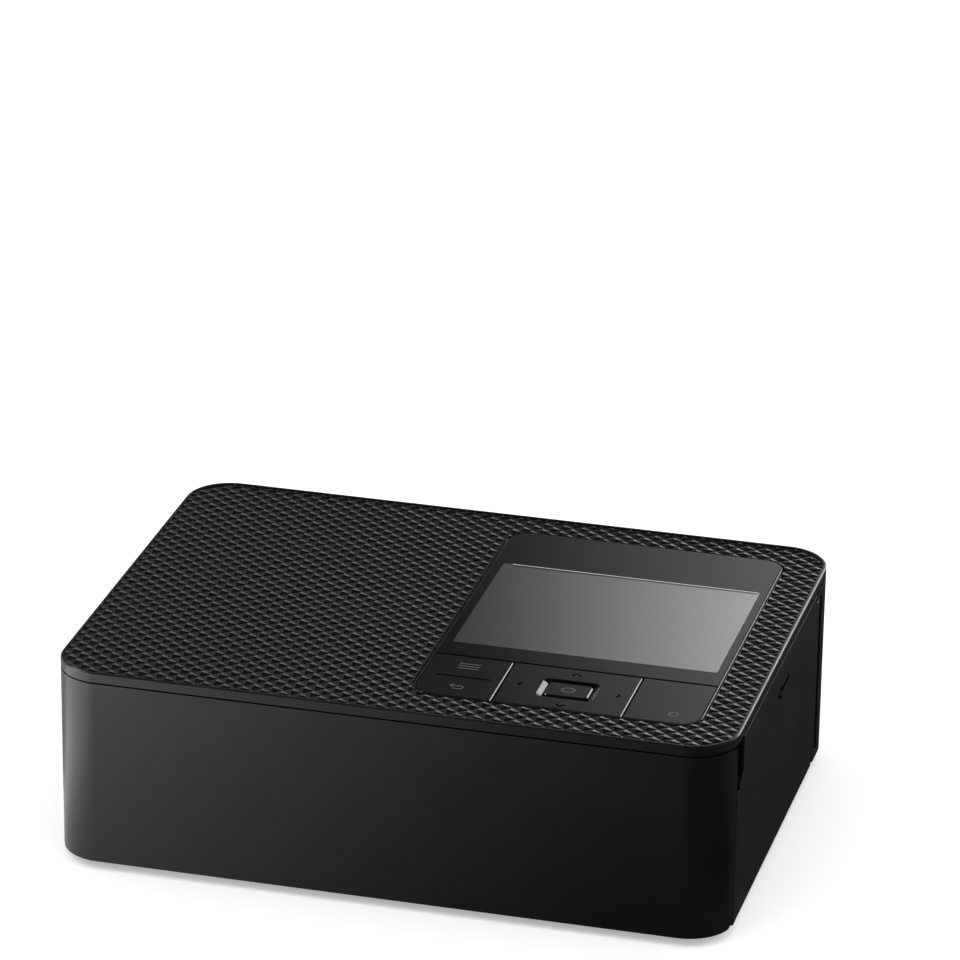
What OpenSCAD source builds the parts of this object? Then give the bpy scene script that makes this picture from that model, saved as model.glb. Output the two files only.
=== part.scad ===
// Compact photo printer, empty and closed.
// X runs along the front, Y from front to back, Z up.
// The origin is on the table under the middle of the case.

/* [Case] */
// Width of the case
body_w = 182.2; // [176:0.1:192]
// Depth of the case
body_d = 133; // [130:0.5:140]
// Height from the table to the top
body_h = 57.6; // [57:0.1:62]
// Radius of the upright corners
corner_r = 12.5; // [9:0.5:14]
// Thickness of the outer walls
wall = 2.2; // [1.8:0.1:2.4]
// Thickness of the case floor
floor_t = 2.2; // [1.8:0.1:2.4]
// Height of the feet under the case
foot_h = 2.7; // [2.5:0.1:3.5]
// Height of the band around the top
rim_h = 2.8; // [2.6:0.1:3.2]
// Chamfer around the top edge
rim_chamfer = 0.35; // [0.2:0.05:0.6]
// Width of the open seams between the covers
seam = 0.4; // [0.3:0.05:0.5]
// Thickness of the patterned plate on the top
plate_t = 1.2; // [1:0.1:1.3]
// Width of the smooth edge around the patterned plate
plate_edge = 0.9; // [0.7:0.1:1.5]

/* [Front cover] */
// How far the cover wraps back around the corners
cover_wrap = 10.5; // [9.5:0.1:11]
// Hinge axis behind the front face
cover_hinge_in = 5; // [4.8:0.1:5.2]
// Hinge axis above the lower edge of the cover
cover_hinge_up = 3.8; // [3.6:0.1:3.9]
// Radius of the hinge pins
cover_pin_r = 1.2; // [1:0.1:1.4]
// Where the hinge ears stand, from the middle
cover_ear_x = 77; // [70:1:78]

/* [Side door] */
// Width of the post between the two covers
post_w = 3.2; // [2.5:0.1:4]
// Length of the fixed corner behind the door
rear_corner_l = 16.1; // [15:0.1:20]
// Radius of the hinge knuckle
knuckle_r = 3; // [2.8:0.1:3.2]
// Radius of the hinge rod
door_rod_r = 1.2; // [1:0.1:1.4]
// Height of the hinge lugs on the case
lug_h = 2.3; // [2:0.1:3]
// Width of the finger notch
notch_w = 6.8; // [6:0.1:8]
// Height of the finger notch
notch_h = 14; // [10:0.5:18]

/* [Operation panel] */
// Width of the panel
panel_w = 77.1; // [74:0.1:78]
// Length of the panel from front to back
panel_l = 109.8; // [106:0.1:110]
// Radius of its corners
panel_r = 6; // [4:0.5:8]
// Panel to the right side of the case
panel_side = 11.1; // [10.5:0.1:14]
// Panel to the front of the case
panel_front = 12.4; // [12:0.1:14]
// Length of the band of keys
key_l = 25.5; // [24:0.1:27]
// Width of the menu key
menu_w = 22.1; // [20:0.1:24]
// Width of the print key
print_w = 20.3; // [18:0.1:23]
// Gap between the keys
key_gap = 0.6; // [0.4:0.05:0.8]
// Thickness of the key tops
key_t = 1.2; // [1:0.1:1.3]
// Width of the opening around the centre key
ok_hole_w = 15.2; // [14:0.1:17]
// Length of the opening around the centre key
ok_hole_l = 11.4; // [10:0.1:12]
// Width of the centre key
ok_w = 11.8; // [10:0.1:12]
// Length of the centre key
ok_l = 7.9; // [7:0.1:8]
// Travel of the keys
key_travel = 0.4; // [0.2:0.05:0.4]
// Radius of the key stems
stem_r = 1.5; // [1.2:0.1:1.6]
// Thickness of the window sheet
sheet_t = 1; // [0.8:0.1:1.1]
// Width of the display module
lcd_w = 72.6; // [70:0.1:73]
// Length of the display module
lcd_l = 56; // [54:0.1:57]
// Thickness of the display module
lcd_t = 3.2; // [2.8:0.1:3.3]

/* [Paper path] */
// Middle of the paper, to the right of the middle of the case
path_x = 14; // [12:0.5:16]
// Height of the paper above the table
path_z = 23; // [22.5:0.1:23.5]
// Width of the paper
paper_w = 100; // [90:1:102]
// Radius of the platen roller
platen_r = 6; // [5:0.1:6.5]
// Radius of the capstan
capstan_r = 4.2; // [4:0.1:4.5]
// Radius of the pinch roller
pinch_r = 3.2; // [3:0.1:3.5]
// Radius of the pick-up tyres
pickup_r = 8; // [7.5:0.1:8.2]
// Radius of the roller shafts
shaft_r = 2.5; // [2:0.1:2.6]
// Radial clearance of the running fits
running = 0.05; // [0.03:0.01:0.08]
// Inner height of the paper compartment
tray_h = 13; // [12:0.5:13.5]

/* [Ribbon drive] */
// Radius of the two channels for the ribbon spools
spool_r = 12.5; // [12:0.1:12.6]
// Distance between the two spools
spool_gap = 52; // [51:0.5:53]
// Travel of the print head
head_travel = 2.5; // [1.5:0.1:2.6]
// Gear module
gear_m = 0.6; // [0.55:0.01:0.62]
// Teeth of the large gears
gear_teeth = 36; // [34:2:36]
// Teeth of the motor pinions
pinion_teeth = 12; // [12:1:14]
// Width of the gears
gear_w = 3.5; // [3:0.1:3.8]
// Thickness of the sheet steel plates
steel_t = 1.2; // [1:0.1:1.4]

/* [Hidden] */
$fn = 64;

half_w = body_w / 2;
half_d = body_d / 2;
// Pieces on different bodies stay this far apart
clear = 0.3;
// Cuts run this far past the surface that they open
past = 1;

// Heights
shell_z = foot_h;
floor_z = shell_z + floor_t;
rim_z = body_h - rim_h;
case_top = rim_z - seam;
plate_z = body_h - plate_t;
in_x = half_w - wall;
in_y = half_d - wall;
in_r = corner_r - wall;

// Screw bosses at the four corners
screw_r = 1.2;
boss_r = 3.6;
boss_top = case_top - 4.4;
bosses = [[-half_w + 9, -half_d + 16.5], [half_w - 8, -half_d + 15.8],
    [-half_w + 9, half_d - 8.2], [half_w - 13, half_d - 8.2]];

// Front cover
cover_y = -half_d + cover_wrap;
case_y = cover_y + seam;
cover_hinge = [-half_d + cover_hinge_in, shell_z + cover_hinge_up];
ear_r = 2.4;
ear_t = 3.4;
arm_round = 3;
arm_top_round = 2;

// Side door
door_y = case_y + post_w + seam;
door_top = case_top - seam;
knuckle = [half_w - knuckle_r, half_d - rear_corner_l - seam - knuckle_r];
lug_top_z = door_top - lug_h;
notch_y1 = case_y + notch_w;
notch_z = case_top - notch_h;

// Panel
panel_x1 = half_w - panel_side;
panel_x0 = panel_x1 - panel_w;
panel_y0 = -half_d + panel_front;
// The panel and the display have their lengths in a case 133 deep, and grow with a deeper one
deeper = body_d - 133;
panel_y1 = panel_y0 + panel_l + deeper;
panel_top = body_h - 0.1;
panel_gap = 0.15;
panel_border = 0.8;
well_in = panel_border - 0.25;
key_seam_y = panel_y0 + key_l;
key_top = panel_top - 0.1;
key_z = key_top - key_t;
key_mid_y = panel_y0 + key_l / 2;
menu_x1 = panel_x0 + menu_w;
print_x0 = panel_x1 - print_w;
four_mid = [(menu_x1 + print_x0) / 2 + 0.2, key_mid_y];
web_t = 1;
web_z = key_z - 2.6;
web_top = web_z + web_t;
pad_t = 0.6;
pad_z = web_top + key_travel;
board_t = 1.2;
switch_t = 1.2;
stem_z = web_z - 0.7;
board_z = stem_z - key_travel - 0.05 - switch_t - board_t;
sheet_z = panel_top - sheet_t;
lcd_top = sheet_z - 1.1;
lcd_z = lcd_top - lcd_t;
lcd_front = 7.4;
lcd_half_l = (lcd_l + deeper) / 2;
lcd_mid = [(panel_x0 + panel_x1) / 2, key_seam_y + lcd_front + lcd_half_l];
frame_z = lcd_z - 1;
tub_in = 2;
rocker_ridge = 0.5;

// Chassis
left_x = path_x - paper_w / 2 - 14;
right_x = half_w - 9.1;
bracket_gap = 7.2;
bracket_x = left_x - bracket_gap - steel_t;
chassis_y0 = bosses[1][1] + boss_r + 0.5;
chassis_y1 = half_d - 4;
stay_z = frame_z - clear - steel_t;
chassis_top = stay_z;

// Paper path
path_front = 73.5;
platen = [-half_d + path_front, path_z - platen_r];
capstan = [half_d - 14.5, path_z - capstan_r - 0.1];
pinch = [capstan[0], path_z + pinch_r + 0.1];
tray_wall = 1.6;
tray_x0 = path_x - paper_w / 2 - 6;
tray_x1 = path_x + paper_w / 2 + 6;
tray_y1 = platen[0] - platen_r - 5;
tray_z = floor_z + tray_wall;

// Ribbon drive
pitch_r = gear_m * gear_teeth / 2;
pinion_pitch_r = gear_m * pinion_teeth / 2;
takeup = [platen[0] - 1 - spool_gap / 2, stay_z - spool_r - 1.5];
supply = [takeup[0] + spool_gap, takeup[1]];
pickup_drop = 22;
pickup = [takeup[0] - 2 * pitch_r * cos(pickup_drop), takeup[1] - 2 * pitch_r * sin(pickup_drop)];
feed_turn = 135;
feed_axis = [capstan[0] + (pitch_r + pinion_pitch_r) * cos(feed_turn),
    capstan[1] + (pitch_r + pinion_pitch_r) * sin(feed_turn)];
ribbon_axis = [takeup[0] + pitch_r + pinion_pitch_r, takeup[1]];
gear_x = left_x - 1.2 - gear_w;
feed_motor_r = 12;
ribbon_motor_r = 9.5;
motor_room = 6.5;
motor_l = in_x + bracket_x - motor_room;

// Print head
head_y = platen[0];
head_z = path_z + 0.2 + head_travel;
head_plate_t = 4;
sink_z = head_z + head_plate_t;
sink_top = stay_z - 3;
head_pin_r = 2;
head_pin_z = sink_z + 6;

// Electronics
main_z = case_top - 5.2;
main_t = 1.6;
main_x0 = -in_x + 3;
main_x1 = bracket_x - 0.8;
chip_x = 12;
main_front = 22.5;
main_rear = 14.8;
flange_w = 9;
flange_l = 23;
fan_size = 30;
fan_t = 10;
fan_mid = [bosses[0][1] + boss_r + 1 + fan_size / 2, floor_z + 3 + fan_size / 2];

// ---------- shapes that repeat ----------

// The range from mid - half to mid + half
function about(mid, half) = [mid - half, mid + half];

// A box from ranges in x, y and z
module block(x, y, z) {
    translate([x[0], y[0], z[0]]) cube([x[1] - x[0], y[1] - y[0], z[1] - z[0]]);
}

// Rectangle with round corners about the origin
module round_rect(w, l, r) {
    square([w - 2 * r, l], center = true);
    square([w, l - 2 * r], center = true);
    for (x = [-1, 1], y = [-1, 1])
        translate([x * (w / 2 - r), y * (l / 2 - r)]) circle(r);
}

module slab(w, l, z, r) {
    translate([0, 0, z[0]]) linear_extrude(z[1] - z[0]) round_rect(w, l, r);
}

// A slab whose top edge has a true chamfer all round
module chamfered_slab(w, l, z, r, c) {
    top = z[1] - c;
    // the chamfered part reaches down into the slab, so that the two always join
    low = top - 0.1;
    slab(w, l, [z[0], top], r);
    for (x = [-1, 1], y = [-1, 1])
        translate([x * (w / 2 - r), y * (l / 2 - r), 0]) {
            translate([0, 0, low]) cylinder(h = top - low, r = r);
            translate([0, 0, top]) cylinder(h = c, r1 = r, r2 = r - c);
        }
    along_y(-l / 2 + r, l / 2 - r)
        polygon([[-w / 2, low], [w / 2, low], [w / 2, top], [w / 2 - c, z[1]], [-w / 2 + c, z[1]], [-w / 2, top]]);
    along_x(-w / 2 + r, w / 2 - r)
        polygon([[-l / 2, low], [l / 2, low], [l / 2, top], [l / 2 - c, z[1]], [-l / 2 + c, z[1]], [-l / 2, top]]);
}

// A flat outline in (y, z), given thickness along x
module along_x(x0, x1) {
    translate([x0, 0, 0]) rotate([90, 0, 90]) linear_extrude(x1 - x0) children();
}

// A flat outline in (x, z), given thickness along y
module along_y(y0, y1) {
    translate([0, y1, 0]) rotate([90, 0, 0]) linear_extrude(y1 - y0) children();
}

// A round bar along x through the point p = [y, z]
module bar(x, p, r) {
    translate([x[0], p[0], p[1]]) rotate([0, 90, 0]) cylinder(h = x[1] - x[0], r = r);
}

module disc(p, r) {
    translate(p) circle(r);
}

// Outline of the operation panel, drawn in by inset
module panel_slab(inset, z) {
    translate([(panel_x0 + panel_x1) / 2, (panel_y0 + panel_y1) / 2, 0])
        slab(panel_w - 2 * inset, panel_y1 - panel_y0 - 2 * inset, z, panel_r - inset);
}

// Gear teeth are stub involutes of this pressure angle
pressure = 25;
addendum = 0.8;
dedendum = 1.05;
backlash = 0.09;
flank_steps = [0, 0.3, 0.6, 1];

function involute(a) = tan(a) * 180 / PI - a;
function half_tooth(teeth, r) =
    let (rb = gear_m * teeth / 2 * cos(pressure))
    90 / teeth - backlash * 90 / (PI * gear_m * teeth / 2)
        + involute(pressure) - involute(r > rb ? acos(rb / r) : 0);
function flank_radii(teeth) =
    let (low = max(gear_m * (teeth / 2 - dedendum) + 0.05, gear_m * teeth / 2 * cos(pressure)),
        high = gear_m * (teeth / 2 + addendum))
    [for (s = flank_steps) low + (high - low) * s];
function gear_outline(teeth) =
    let (radii = flank_radii(teeth), n = len(radii), root = gear_m * (teeth / 2 - dedendum))
    [for (t = [0 : teeth - 1])
        let (mid = t * 360 / teeth)
        each concat(
            [let (a = mid - half_tooth(teeth, radii[0]) * 1.02) root * [cos(a), sin(a)]],
            [for (i = [0 : n - 1])
                let (a = mid - half_tooth(teeth, radii[i])) radii[i] * [cos(a), sin(a)]],
            [for (i = [n - 1 : -1 : 0])
                let (a = mid + half_tooth(teeth, radii[i])) radii[i] * [cos(a), sin(a)]],
            [let (a = mid + half_tooth(teeth, radii[0]) * 1.02) root * [cos(a), sin(a)]])];

// A gear along x at p = [y, z], one tooth turned to the angle phase
module gear(x, p, teeth, phase, bore) {
    translate([x[0], p[0], p[1]]) rotate([90, 0, 90]) difference() {
        linear_extrude(x[1] - x[0]) rotate(phase) polygon(gear_outline(teeth));
        translate([0, 0, -past]) cylinder(h = x[1] - x[0] + 2 * past, r = bore);
    }
}

// ---------- outer covers ----------

module hinge_ear(x0) {
    difference() {
        along_x(x0, x0 + ear_t) {
            disc(cover_hinge, ear_r);
            translate([cover_hinge[0], cover_hinge[1] - ear_r])
                square([case_y + 3 - cover_hinge[0], 2 * ear_r]);
        }
        bar([x0 - past, x0 + ear_t + past], cover_hinge, cover_pin_r + running);
    }
}

module screw_boss(p) {
    difference() {
        translate([p[0], p[1], shell_z]) cylinder(h = boss_top - shell_z, r = boss_r);
        translate([p[0], p[1], shell_z - past]) cylinder(h = boss_top, r = screw_r);
        translate([p[0], p[1], shell_z - past]) cylinder(h = past + 1.8, r = 2.4);
    }
}

module case_shell() {
    difference() {
        slab(body_w, body_d, [shell_z, case_top], corner_r);
        slab(2 * in_x, 2 * in_y, [floor_z, case_top + past], in_r);
        // the front cover and the side door close these two sides
        block([-half_w - past, half_w + past], [-half_d - past, case_y], [0, body_h]);
        block([in_x - clear, half_w + past], [door_y - seam, knuckle[1] + knuckle_r + seam], [0, body_h]);
        // finger notch beside the door's front edge
        block([in_x - past, half_w + past], [case_y - past, door_y], [notch_z, body_h]);
        for (p = bosses) translate([p[0], p[1], 0]) cylinder(h = floor_z + past, r = boss_r - 0.2);
    }
}

module lower_case() {
    color([0.07, 0.07, 0.075]) difference() {
        union() {
            case_shell();
            for (p = bosses) screw_boss(p);
            for (s = [-1, 1]) hinge_ear(s * cover_ear_x - ear_t / 2);
            for (z = [[shell_z, shell_z + lug_h], [lug_top_z, door_top]]) {
                translate([knuckle[0], knuckle[1], z[0]]) cylinder(h = z[1] - z[0], r = knuckle_r);
                block([in_x - 3.4, half_w], [knuckle[1], knuckle[1] + knuckle_r + seam + past], z);
            }
        }
        translate([knuckle[0], knuckle[1], shell_z + 0.5])
            cylinder(h = door_top - shell_z - 0.8, r = door_rod_r + running);
        // slot where the paper comes out at the back between passes
        block([path_x - paper_w / 2 - 2, path_x + paper_w / 2 + 2], [in_y - past, half_d + past],
            [path_z - 2.4, path_z + 2.8]);
        // air slots beside the fan
        for (i = [-3 : 3])
            block([-half_w - past, -in_x + past], [fan_mid[0] + i * 4 - 0.9, fan_mid[0] + i * 4 + 0.9],
                [fan_mid[1] - 12, fan_mid[1] + 12]);
        // card and cable sockets
        block([-half_w - past, -in_x + past], [card_y[0] + 1, card_y[1] - 1], [card_z0, card_z0 + 2.6]);
        along_x(-half_w - past, -in_x + past) {
            translate([usb_y, usb_z]) round_rect(9.4, 3.6, 1.75);
            translate([flash_y, flash_z]) square([13.4, 5.9], center = true);
        }
        translate([inlet_x, in_y - past, inlet_z]) rotate([-90, 0, 0])
            cylinder(h = wall + 2 * past, r = inlet_r + 0.1);
    }
}

module top_cover() {
    skirt_out = clear + 0.1;
    skirt_t = 1.5;
    color([0.08, 0.08, 0.085]) difference() {
        union() {
            chamfered_slab(body_w, body_d, [rim_z, body_h], corner_r, rim_chamfer);
            difference() {
                slab(2 * (in_x - skirt_out), 2 * (in_y - skirt_out), [rim_z - 3, rim_z], in_r - skirt_out);
                slab(2 * (in_x - skirt_out - skirt_t), 2 * (in_y - skirt_out - skirt_t),
                    [rim_z - 3 - past, rim_z + past], in_r - skirt_out - skirt_t);
                // room for the door's hinge
                translate([knuckle[0], knuckle[1], 0]) cylinder(h = rim_z, r = knuckle_r + 2.2);
                block([in_x - 5, half_w], [knuckle[1], half_d - rear_corner_l + 3], [0, rim_z]);
                // room for a fingertip in the notch
                block([in_x - 5, half_w], [case_y - past, notch_y1 + past], [0, rim_z]);
            }
            for (p = bosses) translate([p[0], p[1], boss_top + 0.1])
                cylinder(h = rim_z - boss_top, r = boss_r);
        }
        // bed of the patterned plate
        slab(body_w - 2 * plate_edge, body_d - 2 * plate_edge, [plate_z, body_h + past], corner_r - plate_edge);
        // hole that the panel hangs through
        panel_slab(tub_in - panel_gap, [rim_z - past, body_h]);
        key_well(key_z - key_travel - clear);
        for (p = bosses) translate([p[0], p[1], boss_top]) cylinder(h = 4.6, r = screw_r);
    }
}

module top_plate() {
    fit = 0.05;
    color([0.1, 0.1, 0.105]) difference() {
        slab(body_w - 2 * (plate_edge + fit), body_d - 2 * (plate_edge + fit), [plate_z, body_h],
            corner_r - plate_edge - fit);
        panel_slab(0, [plate_z - past, body_h + past]);
    }
}

module front_cover() {
    lug_x = cover_ear_x + ear_t / 2 + clear;
    lug_t = 2.4;
    color([0.075, 0.075, 0.08]) {
        difference() {
            slab(body_w, body_d, [shell_z, case_top], corner_r);
            slab(2 * in_x, 2 * in_y, [shell_z - past, case_top + past], in_r);
            block([-half_w - past, half_w + past], [cover_y, half_d + past], [0, body_h]);
            // the rear corners of both arms are round, so that they swing past the case
            for (s = [-1, 1]) {
                arm_corner(s, shell_z, arm_round, 1);
                arm_corner(s, case_top, arm_top_round, -1);
            }
        }
        // lugs and moulded pins at both ends of the lower edge
        for (s = [-1, 1]) {
            x0 = s > 0 ? lug_x : -lug_x - lug_t;
            pin_x0 = s > 0 ? cover_ear_x - ear_t / 2 - 0.5 : -lug_x;
            along_x(x0, x0 + lug_t) {
                disc(cover_hinge, ear_r - 0.2);
                translate([-in_y - 0.5, cover_hinge[1] - 2.2])
                    square([cover_hinge[0] + in_y + 0.5, 4.4]);
            }
            bar([pin_x0, pin_x0 + lug_x - cover_ear_x + ear_t / 2 + 0.5], cover_hinge, cover_pin_r);
        }
        // flange along the lower edge, open around the hinge ears
        difference() {
            block([-cover_ear_x - 5, cover_ear_x + 5], [-in_y - 0.2, cover_hinge[0] + 2], [shell_z, shell_z + 1.3]);
            for (s = [-1, 1])
                block(about(s * cover_ear_x, ear_t / 2 + 0.4), [-in_y, cover_y], [0, floor_z]);
        }
        // stiffening ribs and the two catches along the top edge
        for (z = [shell_z + 14, case_top - 9])
            block([-cover_ear_x, cover_ear_x], [-in_y - 0.2, -in_y + 1.2], [z, z + 1.2]);
        for (s = [-1, 1])
            along_x(s * 50 - 4, s * 50 + 4)
                polygon([[-in_y - 0.2, case_top - 7.8], [-in_y + 3.2, case_top - 6.6],
                    [-in_y + 3.2, case_top - 5.8], [-in_y + 2.2, case_top - 5.2], [-in_y - 0.2, case_top - 5.2]]);
    }
}

// What is cut off a corner of the cover's arm, at the height z; up is 1 for a lower corner
module arm_corner(side, z, r, up) {
    x0 = side > 0 ? in_x - past : -half_w - past;
    difference() {
        block([x0, x0 + wall + 2 * past], [cover_y - r, cover_y + past],
            up > 0 ? [z - past, z + r] : [z - r, z + past]);
        bar([x0 - past, x0 + wall + 3 * past], [cover_y - r, z + up * r], r);
    }
}

module side_door() {
    color([0.07, 0.07, 0.075]) difference() {
        union() {
            block([in_x, half_w], [door_y, knuckle[1]], [shell_z, door_top]);
            translate([knuckle[0], knuckle[1], shell_z + lug_h + clear])
                cylinder(h = lug_top_z - shell_z - lug_h - 2 * clear, r = knuckle_r);
            for (z = [shell_z + 12, door_top - 12])
                block([in_x - 0.8, in_x + 0.2], [door_y + 8, knuckle[1] - 6], [z, z + 1.2]);
            // catch behind the front edge
            along_z_catch();
        }
        for (z = [[0, shell_z + lug_h + clear], [lug_top_z - clear, body_h]])
            block([in_x - past, half_w + past], [knuckle[1] - knuckle_r - clear, half_d], z);
        translate([knuckle[0], knuckle[1], 0]) cylinder(h = body_h, r = door_rod_r);
        door_notch();
    }
}

module along_z_catch() {
    translate([0, 0, 24]) linear_extrude(8)
        polygon([[in_x + 0.2, door_y + 1], [in_x + 0.2, door_y + 4.4], [in_x - 1.8, door_y + 3.2],
            [in_x - 1.8, door_y + 2.2], [in_x - 1, door_y + 1]]);
}

// The notch runs down the door's front edge and curves out to it
module door_notch() {
    sweep = notch_y1 - door_y;
    difference() {
        block([in_x - past, half_w + past], [door_y - past, notch_y1], [notch_z, body_h]);
        translate([in_x - 2 * past, notch_y1, notch_z]) rotate([0, 90, 0]) cylinder(h = wall + 4 * past, r = sweep);
    }
}

module side_hinge_rod() {
    color([0.6, 0.6, 0.62]) translate([knuckle[0], knuckle[1], shell_z + 0.6])
        cylinder(h = door_top - shell_z - 1, r = door_rod_r);
}

// ---------- operation panel ----------

module key_area(inset, x, z) {
    intersection() {
        panel_slab(inset, z);
        block(x, [panel_y0, key_seam_y - key_gap / 2], [z[0] - past, z[1] + past]);
    }
}

module panel_frame() {
    color([0.03, 0.03, 0.035]) difference() {
        union() {
            panel_slab(panel_gap, [plate_z, panel_top - 0.1]);
            panel_slab(tub_in, [frame_z, plate_z]);
        }
        // room for the window and for the display under it
        intersection() {
            panel_slab(panel_border - 0.1, [sheet_z, body_h]);
            block([panel_x0, panel_x1], [key_seam_y + key_gap / 2 - 0.1, panel_y1], [sheet_z - past, body_h + past]);
        }
        block(about(lcd_mid[0], lcd_w / 2 + 0.1), about(lcd_mid[1], lcd_half_l + 0.1),
            [lcd_z, body_h]);
        block(about(lcd_mid[0], lcd_w / 2 - 8), about(lcd_mid[1], lcd_half_l - 8),
            [frame_z - past, body_h]);
        // room for the keys above their web, and for their switches below it
        key_well(web_top);
        block([panel_x0 + tub_in + 0.8, panel_x1 - tub_in - 0.8], [panel_y0 + tub_in + 0.8, key_seam_y - 1.4],
            [frame_z - past, web_z]);
        block([panel_x0 + tub_in, panel_x1 - tub_in], [panel_y0 + tub_in, key_seam_y - 0.5],
            [frame_z - past, board_z + board_t]);
        for (p = stems) translate([p[0], p[1], web_z - past]) cylinder(h = web_t + 2 * past, r = stem_r + 0.1);
    }
    // the bars that the rocking keys lean on
    color([0.03, 0.03, 0.035]) {
        for (x = [panel_x0 + 7, menu_x1 - 5])
            block([x - 1, x + 1], about(key_mid_y, rocker_ridge), [web_top - 0.1, key_z - 0.05]);
        for (s = [-1, 1])
            block(about(four_mid[0], rocker_ridge),
                about(four_mid[1] + s * (ok_hole_l / 2 + 3), 1), [web_top - 0.1, pad_z - 0.05]);
    }
}

// The room for the keys, from the height z up
module key_well(z) {
    intersection() {
        panel_slab(well_in, [z, body_h + past]);
        block([panel_x0, panel_x1], [panel_y0, key_seam_y - key_gap / 2 + 0.1], [z, body_h + past]);
    }
}

menu_stems = [for (s = [-1, 1]) [(panel_x0 + menu_x1) / 2 - 3, key_mid_y + s * 7]];
print_stem = [(print_x0 + panel_x1) / 2, key_mid_y];
four_stems = [[four_mid[0] - 13, four_mid[1]], [four_mid[0] + 13, four_mid[1]],
    [four_mid[0] + 4, four_mid[1] - 8], [four_mid[0] + 4, four_mid[1] + 8]];
stems = concat(menu_stems, four_stems, [print_stem, four_mid]);

module window_sheet() {
    color([0.1, 0.1, 0.11]) intersection() {
        panel_slab(panel_border, [sheet_z, panel_top]);
        block([panel_x0, panel_x1], [key_seam_y + key_gap / 2, panel_y1], [sheet_z - past, body_h]);
    }
}

module display_module() {
    color([0.25, 0.26, 0.28]) {
        block(about(lcd_mid[0], lcd_w / 2), about(lcd_mid[1], lcd_half_l), [lcd_z, lcd_top - 0.3]);
        block(about(lcd_mid[0], lcd_w / 2 - 0.8), about(lcd_mid[1], lcd_half_l - 0.8),
            [lcd_top - 0.4, lcd_top]);
    }
}

module key_stem(p) {
    translate([p[0], p[1], stem_z]) cylinder(h = key_z - stem_z + 0.2, r = stem_r);
}

module menu_key() {
    color([0.06, 0.06, 0.065]) {
        difference() {
            key_area(panel_border, [panel_x0, menu_x1 - key_gap / 2], [key_z, key_top]);
            // groove between the two ends of the key
            block([panel_x0 + 4, menu_x1 - 3.1], about(key_mid_y, 0.35), [key_top - 0.5, body_h]);
        }
        for (p = menu_stems) key_stem(p);
    }
}

module ok_opening(grow, z) {
    translate([four_mid[0], four_mid[1], 0])
        slab(ok_hole_w + 2 * grow, ok_hole_l + 2 * grow, z, 2 + grow);
}

module rocker_pad() {
    color([0.2, 0.2, 0.2]) {
        difference() {
            block([menu_x1 + 2.4, print_x0 - 2.4], [panel_y0 + 3.4, key_seam_y - 2.6], [pad_z, pad_z + pad_t]);
            ok_opening(0.6, [pad_z - past, body_h]);
            for (p = four_stems) translate([p[0], p[1], 0]) cylinder(h = body_h, r = stem_r + 0.1);
        }
        // the bars under the key's left and right ends
        for (s = [-1, 1])
            block(about(four_mid[0] + s * (ok_hole_w / 2 + 2.6), 1), about(four_mid[1], rocker_ridge),
                [pad_z + pad_t - 0.1, key_z - 0.05]);
    }
}

module four_way_key() {
    color([0.06, 0.06, 0.065]) {
        difference() {
            key_area(panel_border, [menu_x1 + key_gap / 2, print_x0 - key_gap / 2], [key_z, key_top]);
            ok_opening(0, [key_z - past, body_h]);
        }
        for (p = four_stems) key_stem(p);
    }
}

module ok_ring() {
    color([0.35, 0.36, 0.37]) difference() {
        translate([four_mid[0], four_mid[1], 0]) slab(ok_hole_w, ok_hole_l, [key_z, key_top - 0.1], 2);
        translate([four_mid[0], four_mid[1], 0])
            slab(ok_w + 1.2, ok_l + 1.2, [key_z - past, body_h], 1.6);
    }
}

module ok_key() {
    color([0.05, 0.05, 0.055]) {
        translate([four_mid[0], four_mid[1], 0])
            chamfered_slab(ok_w, ok_l, [key_z - 0.8, key_top - 0.1], 1.2, 0.3);
        translate([four_mid[0], four_mid[1], stem_z]) cylinder(h = key_z - stem_z, r = stem_r);
    }
}

module print_key() {
    color([0.06, 0.06, 0.065]) {
        key_area(panel_border, [print_x0 + key_gap / 2, panel_x1], [key_z, key_top]);
        key_stem(print_stem);
    }
}

module key_board() {
    color([0.05, 0.25, 0.12]) difference() {
        block([panel_x0 + 2.4, panel_x1 - 2.4], [panel_y0 + 2.4, key_seam_y - 0.6], [board_z, board_z + board_t]);
        for (x = [panel_x0 + 5, panel_x1 - 5])
            translate([x, key_seam_y - 2, board_z - past]) cylinder(h = 4, r = 0.9);
    }
}

module key_switches() {
    color([0.7, 0.7, 0.68]) for (p = stems) {
        block(about(p[0], 1.9), about(p[1], 1.5), [board_z + board_t, board_z + board_t + 0.7]);
        translate([p[0], p[1], board_z + board_t]) cylinder(h = switch_t, r = 1);
    }
}

// ---------- compartments and chassis ----------

fascia_t = 1.8;
fascia_x = in_x - 4.6;

module front_fascia() {
    color([0.06, 0.06, 0.065]) difference() {
        block([-in_x + 0.6, in_x - 5], [case_y + 0.8, case_y + 0.8 + fascia_t], [floor_z, rim_z - 3.4]);
        block([tray_x0 + tray_wall, tray_x1 - tray_wall], [case_y, case_y + 4], [floor_z - past, path_z + 6]);
        for (p = bosses) translate([p[0], p[1], 0]) cylinder(h = body_h, r = boss_r + 0.3);
        for (s = [-1, 1]) block(about(s * cover_ear_x, ear_t / 2 + 0.3), [case_y, case_y + 4],
            [0, cover_hinge[1] + ear_r + 0.3]);
    }
}

// The ribbon cassette goes in through two round channels joined by a low neck
module cassette_outline(grow) {
    disc(takeup, spool_r + grow);
    disc(supply, spool_r + grow);
    translate([takeup[0], head_z - 1]) square([spool_gap, 8]);
}

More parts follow.
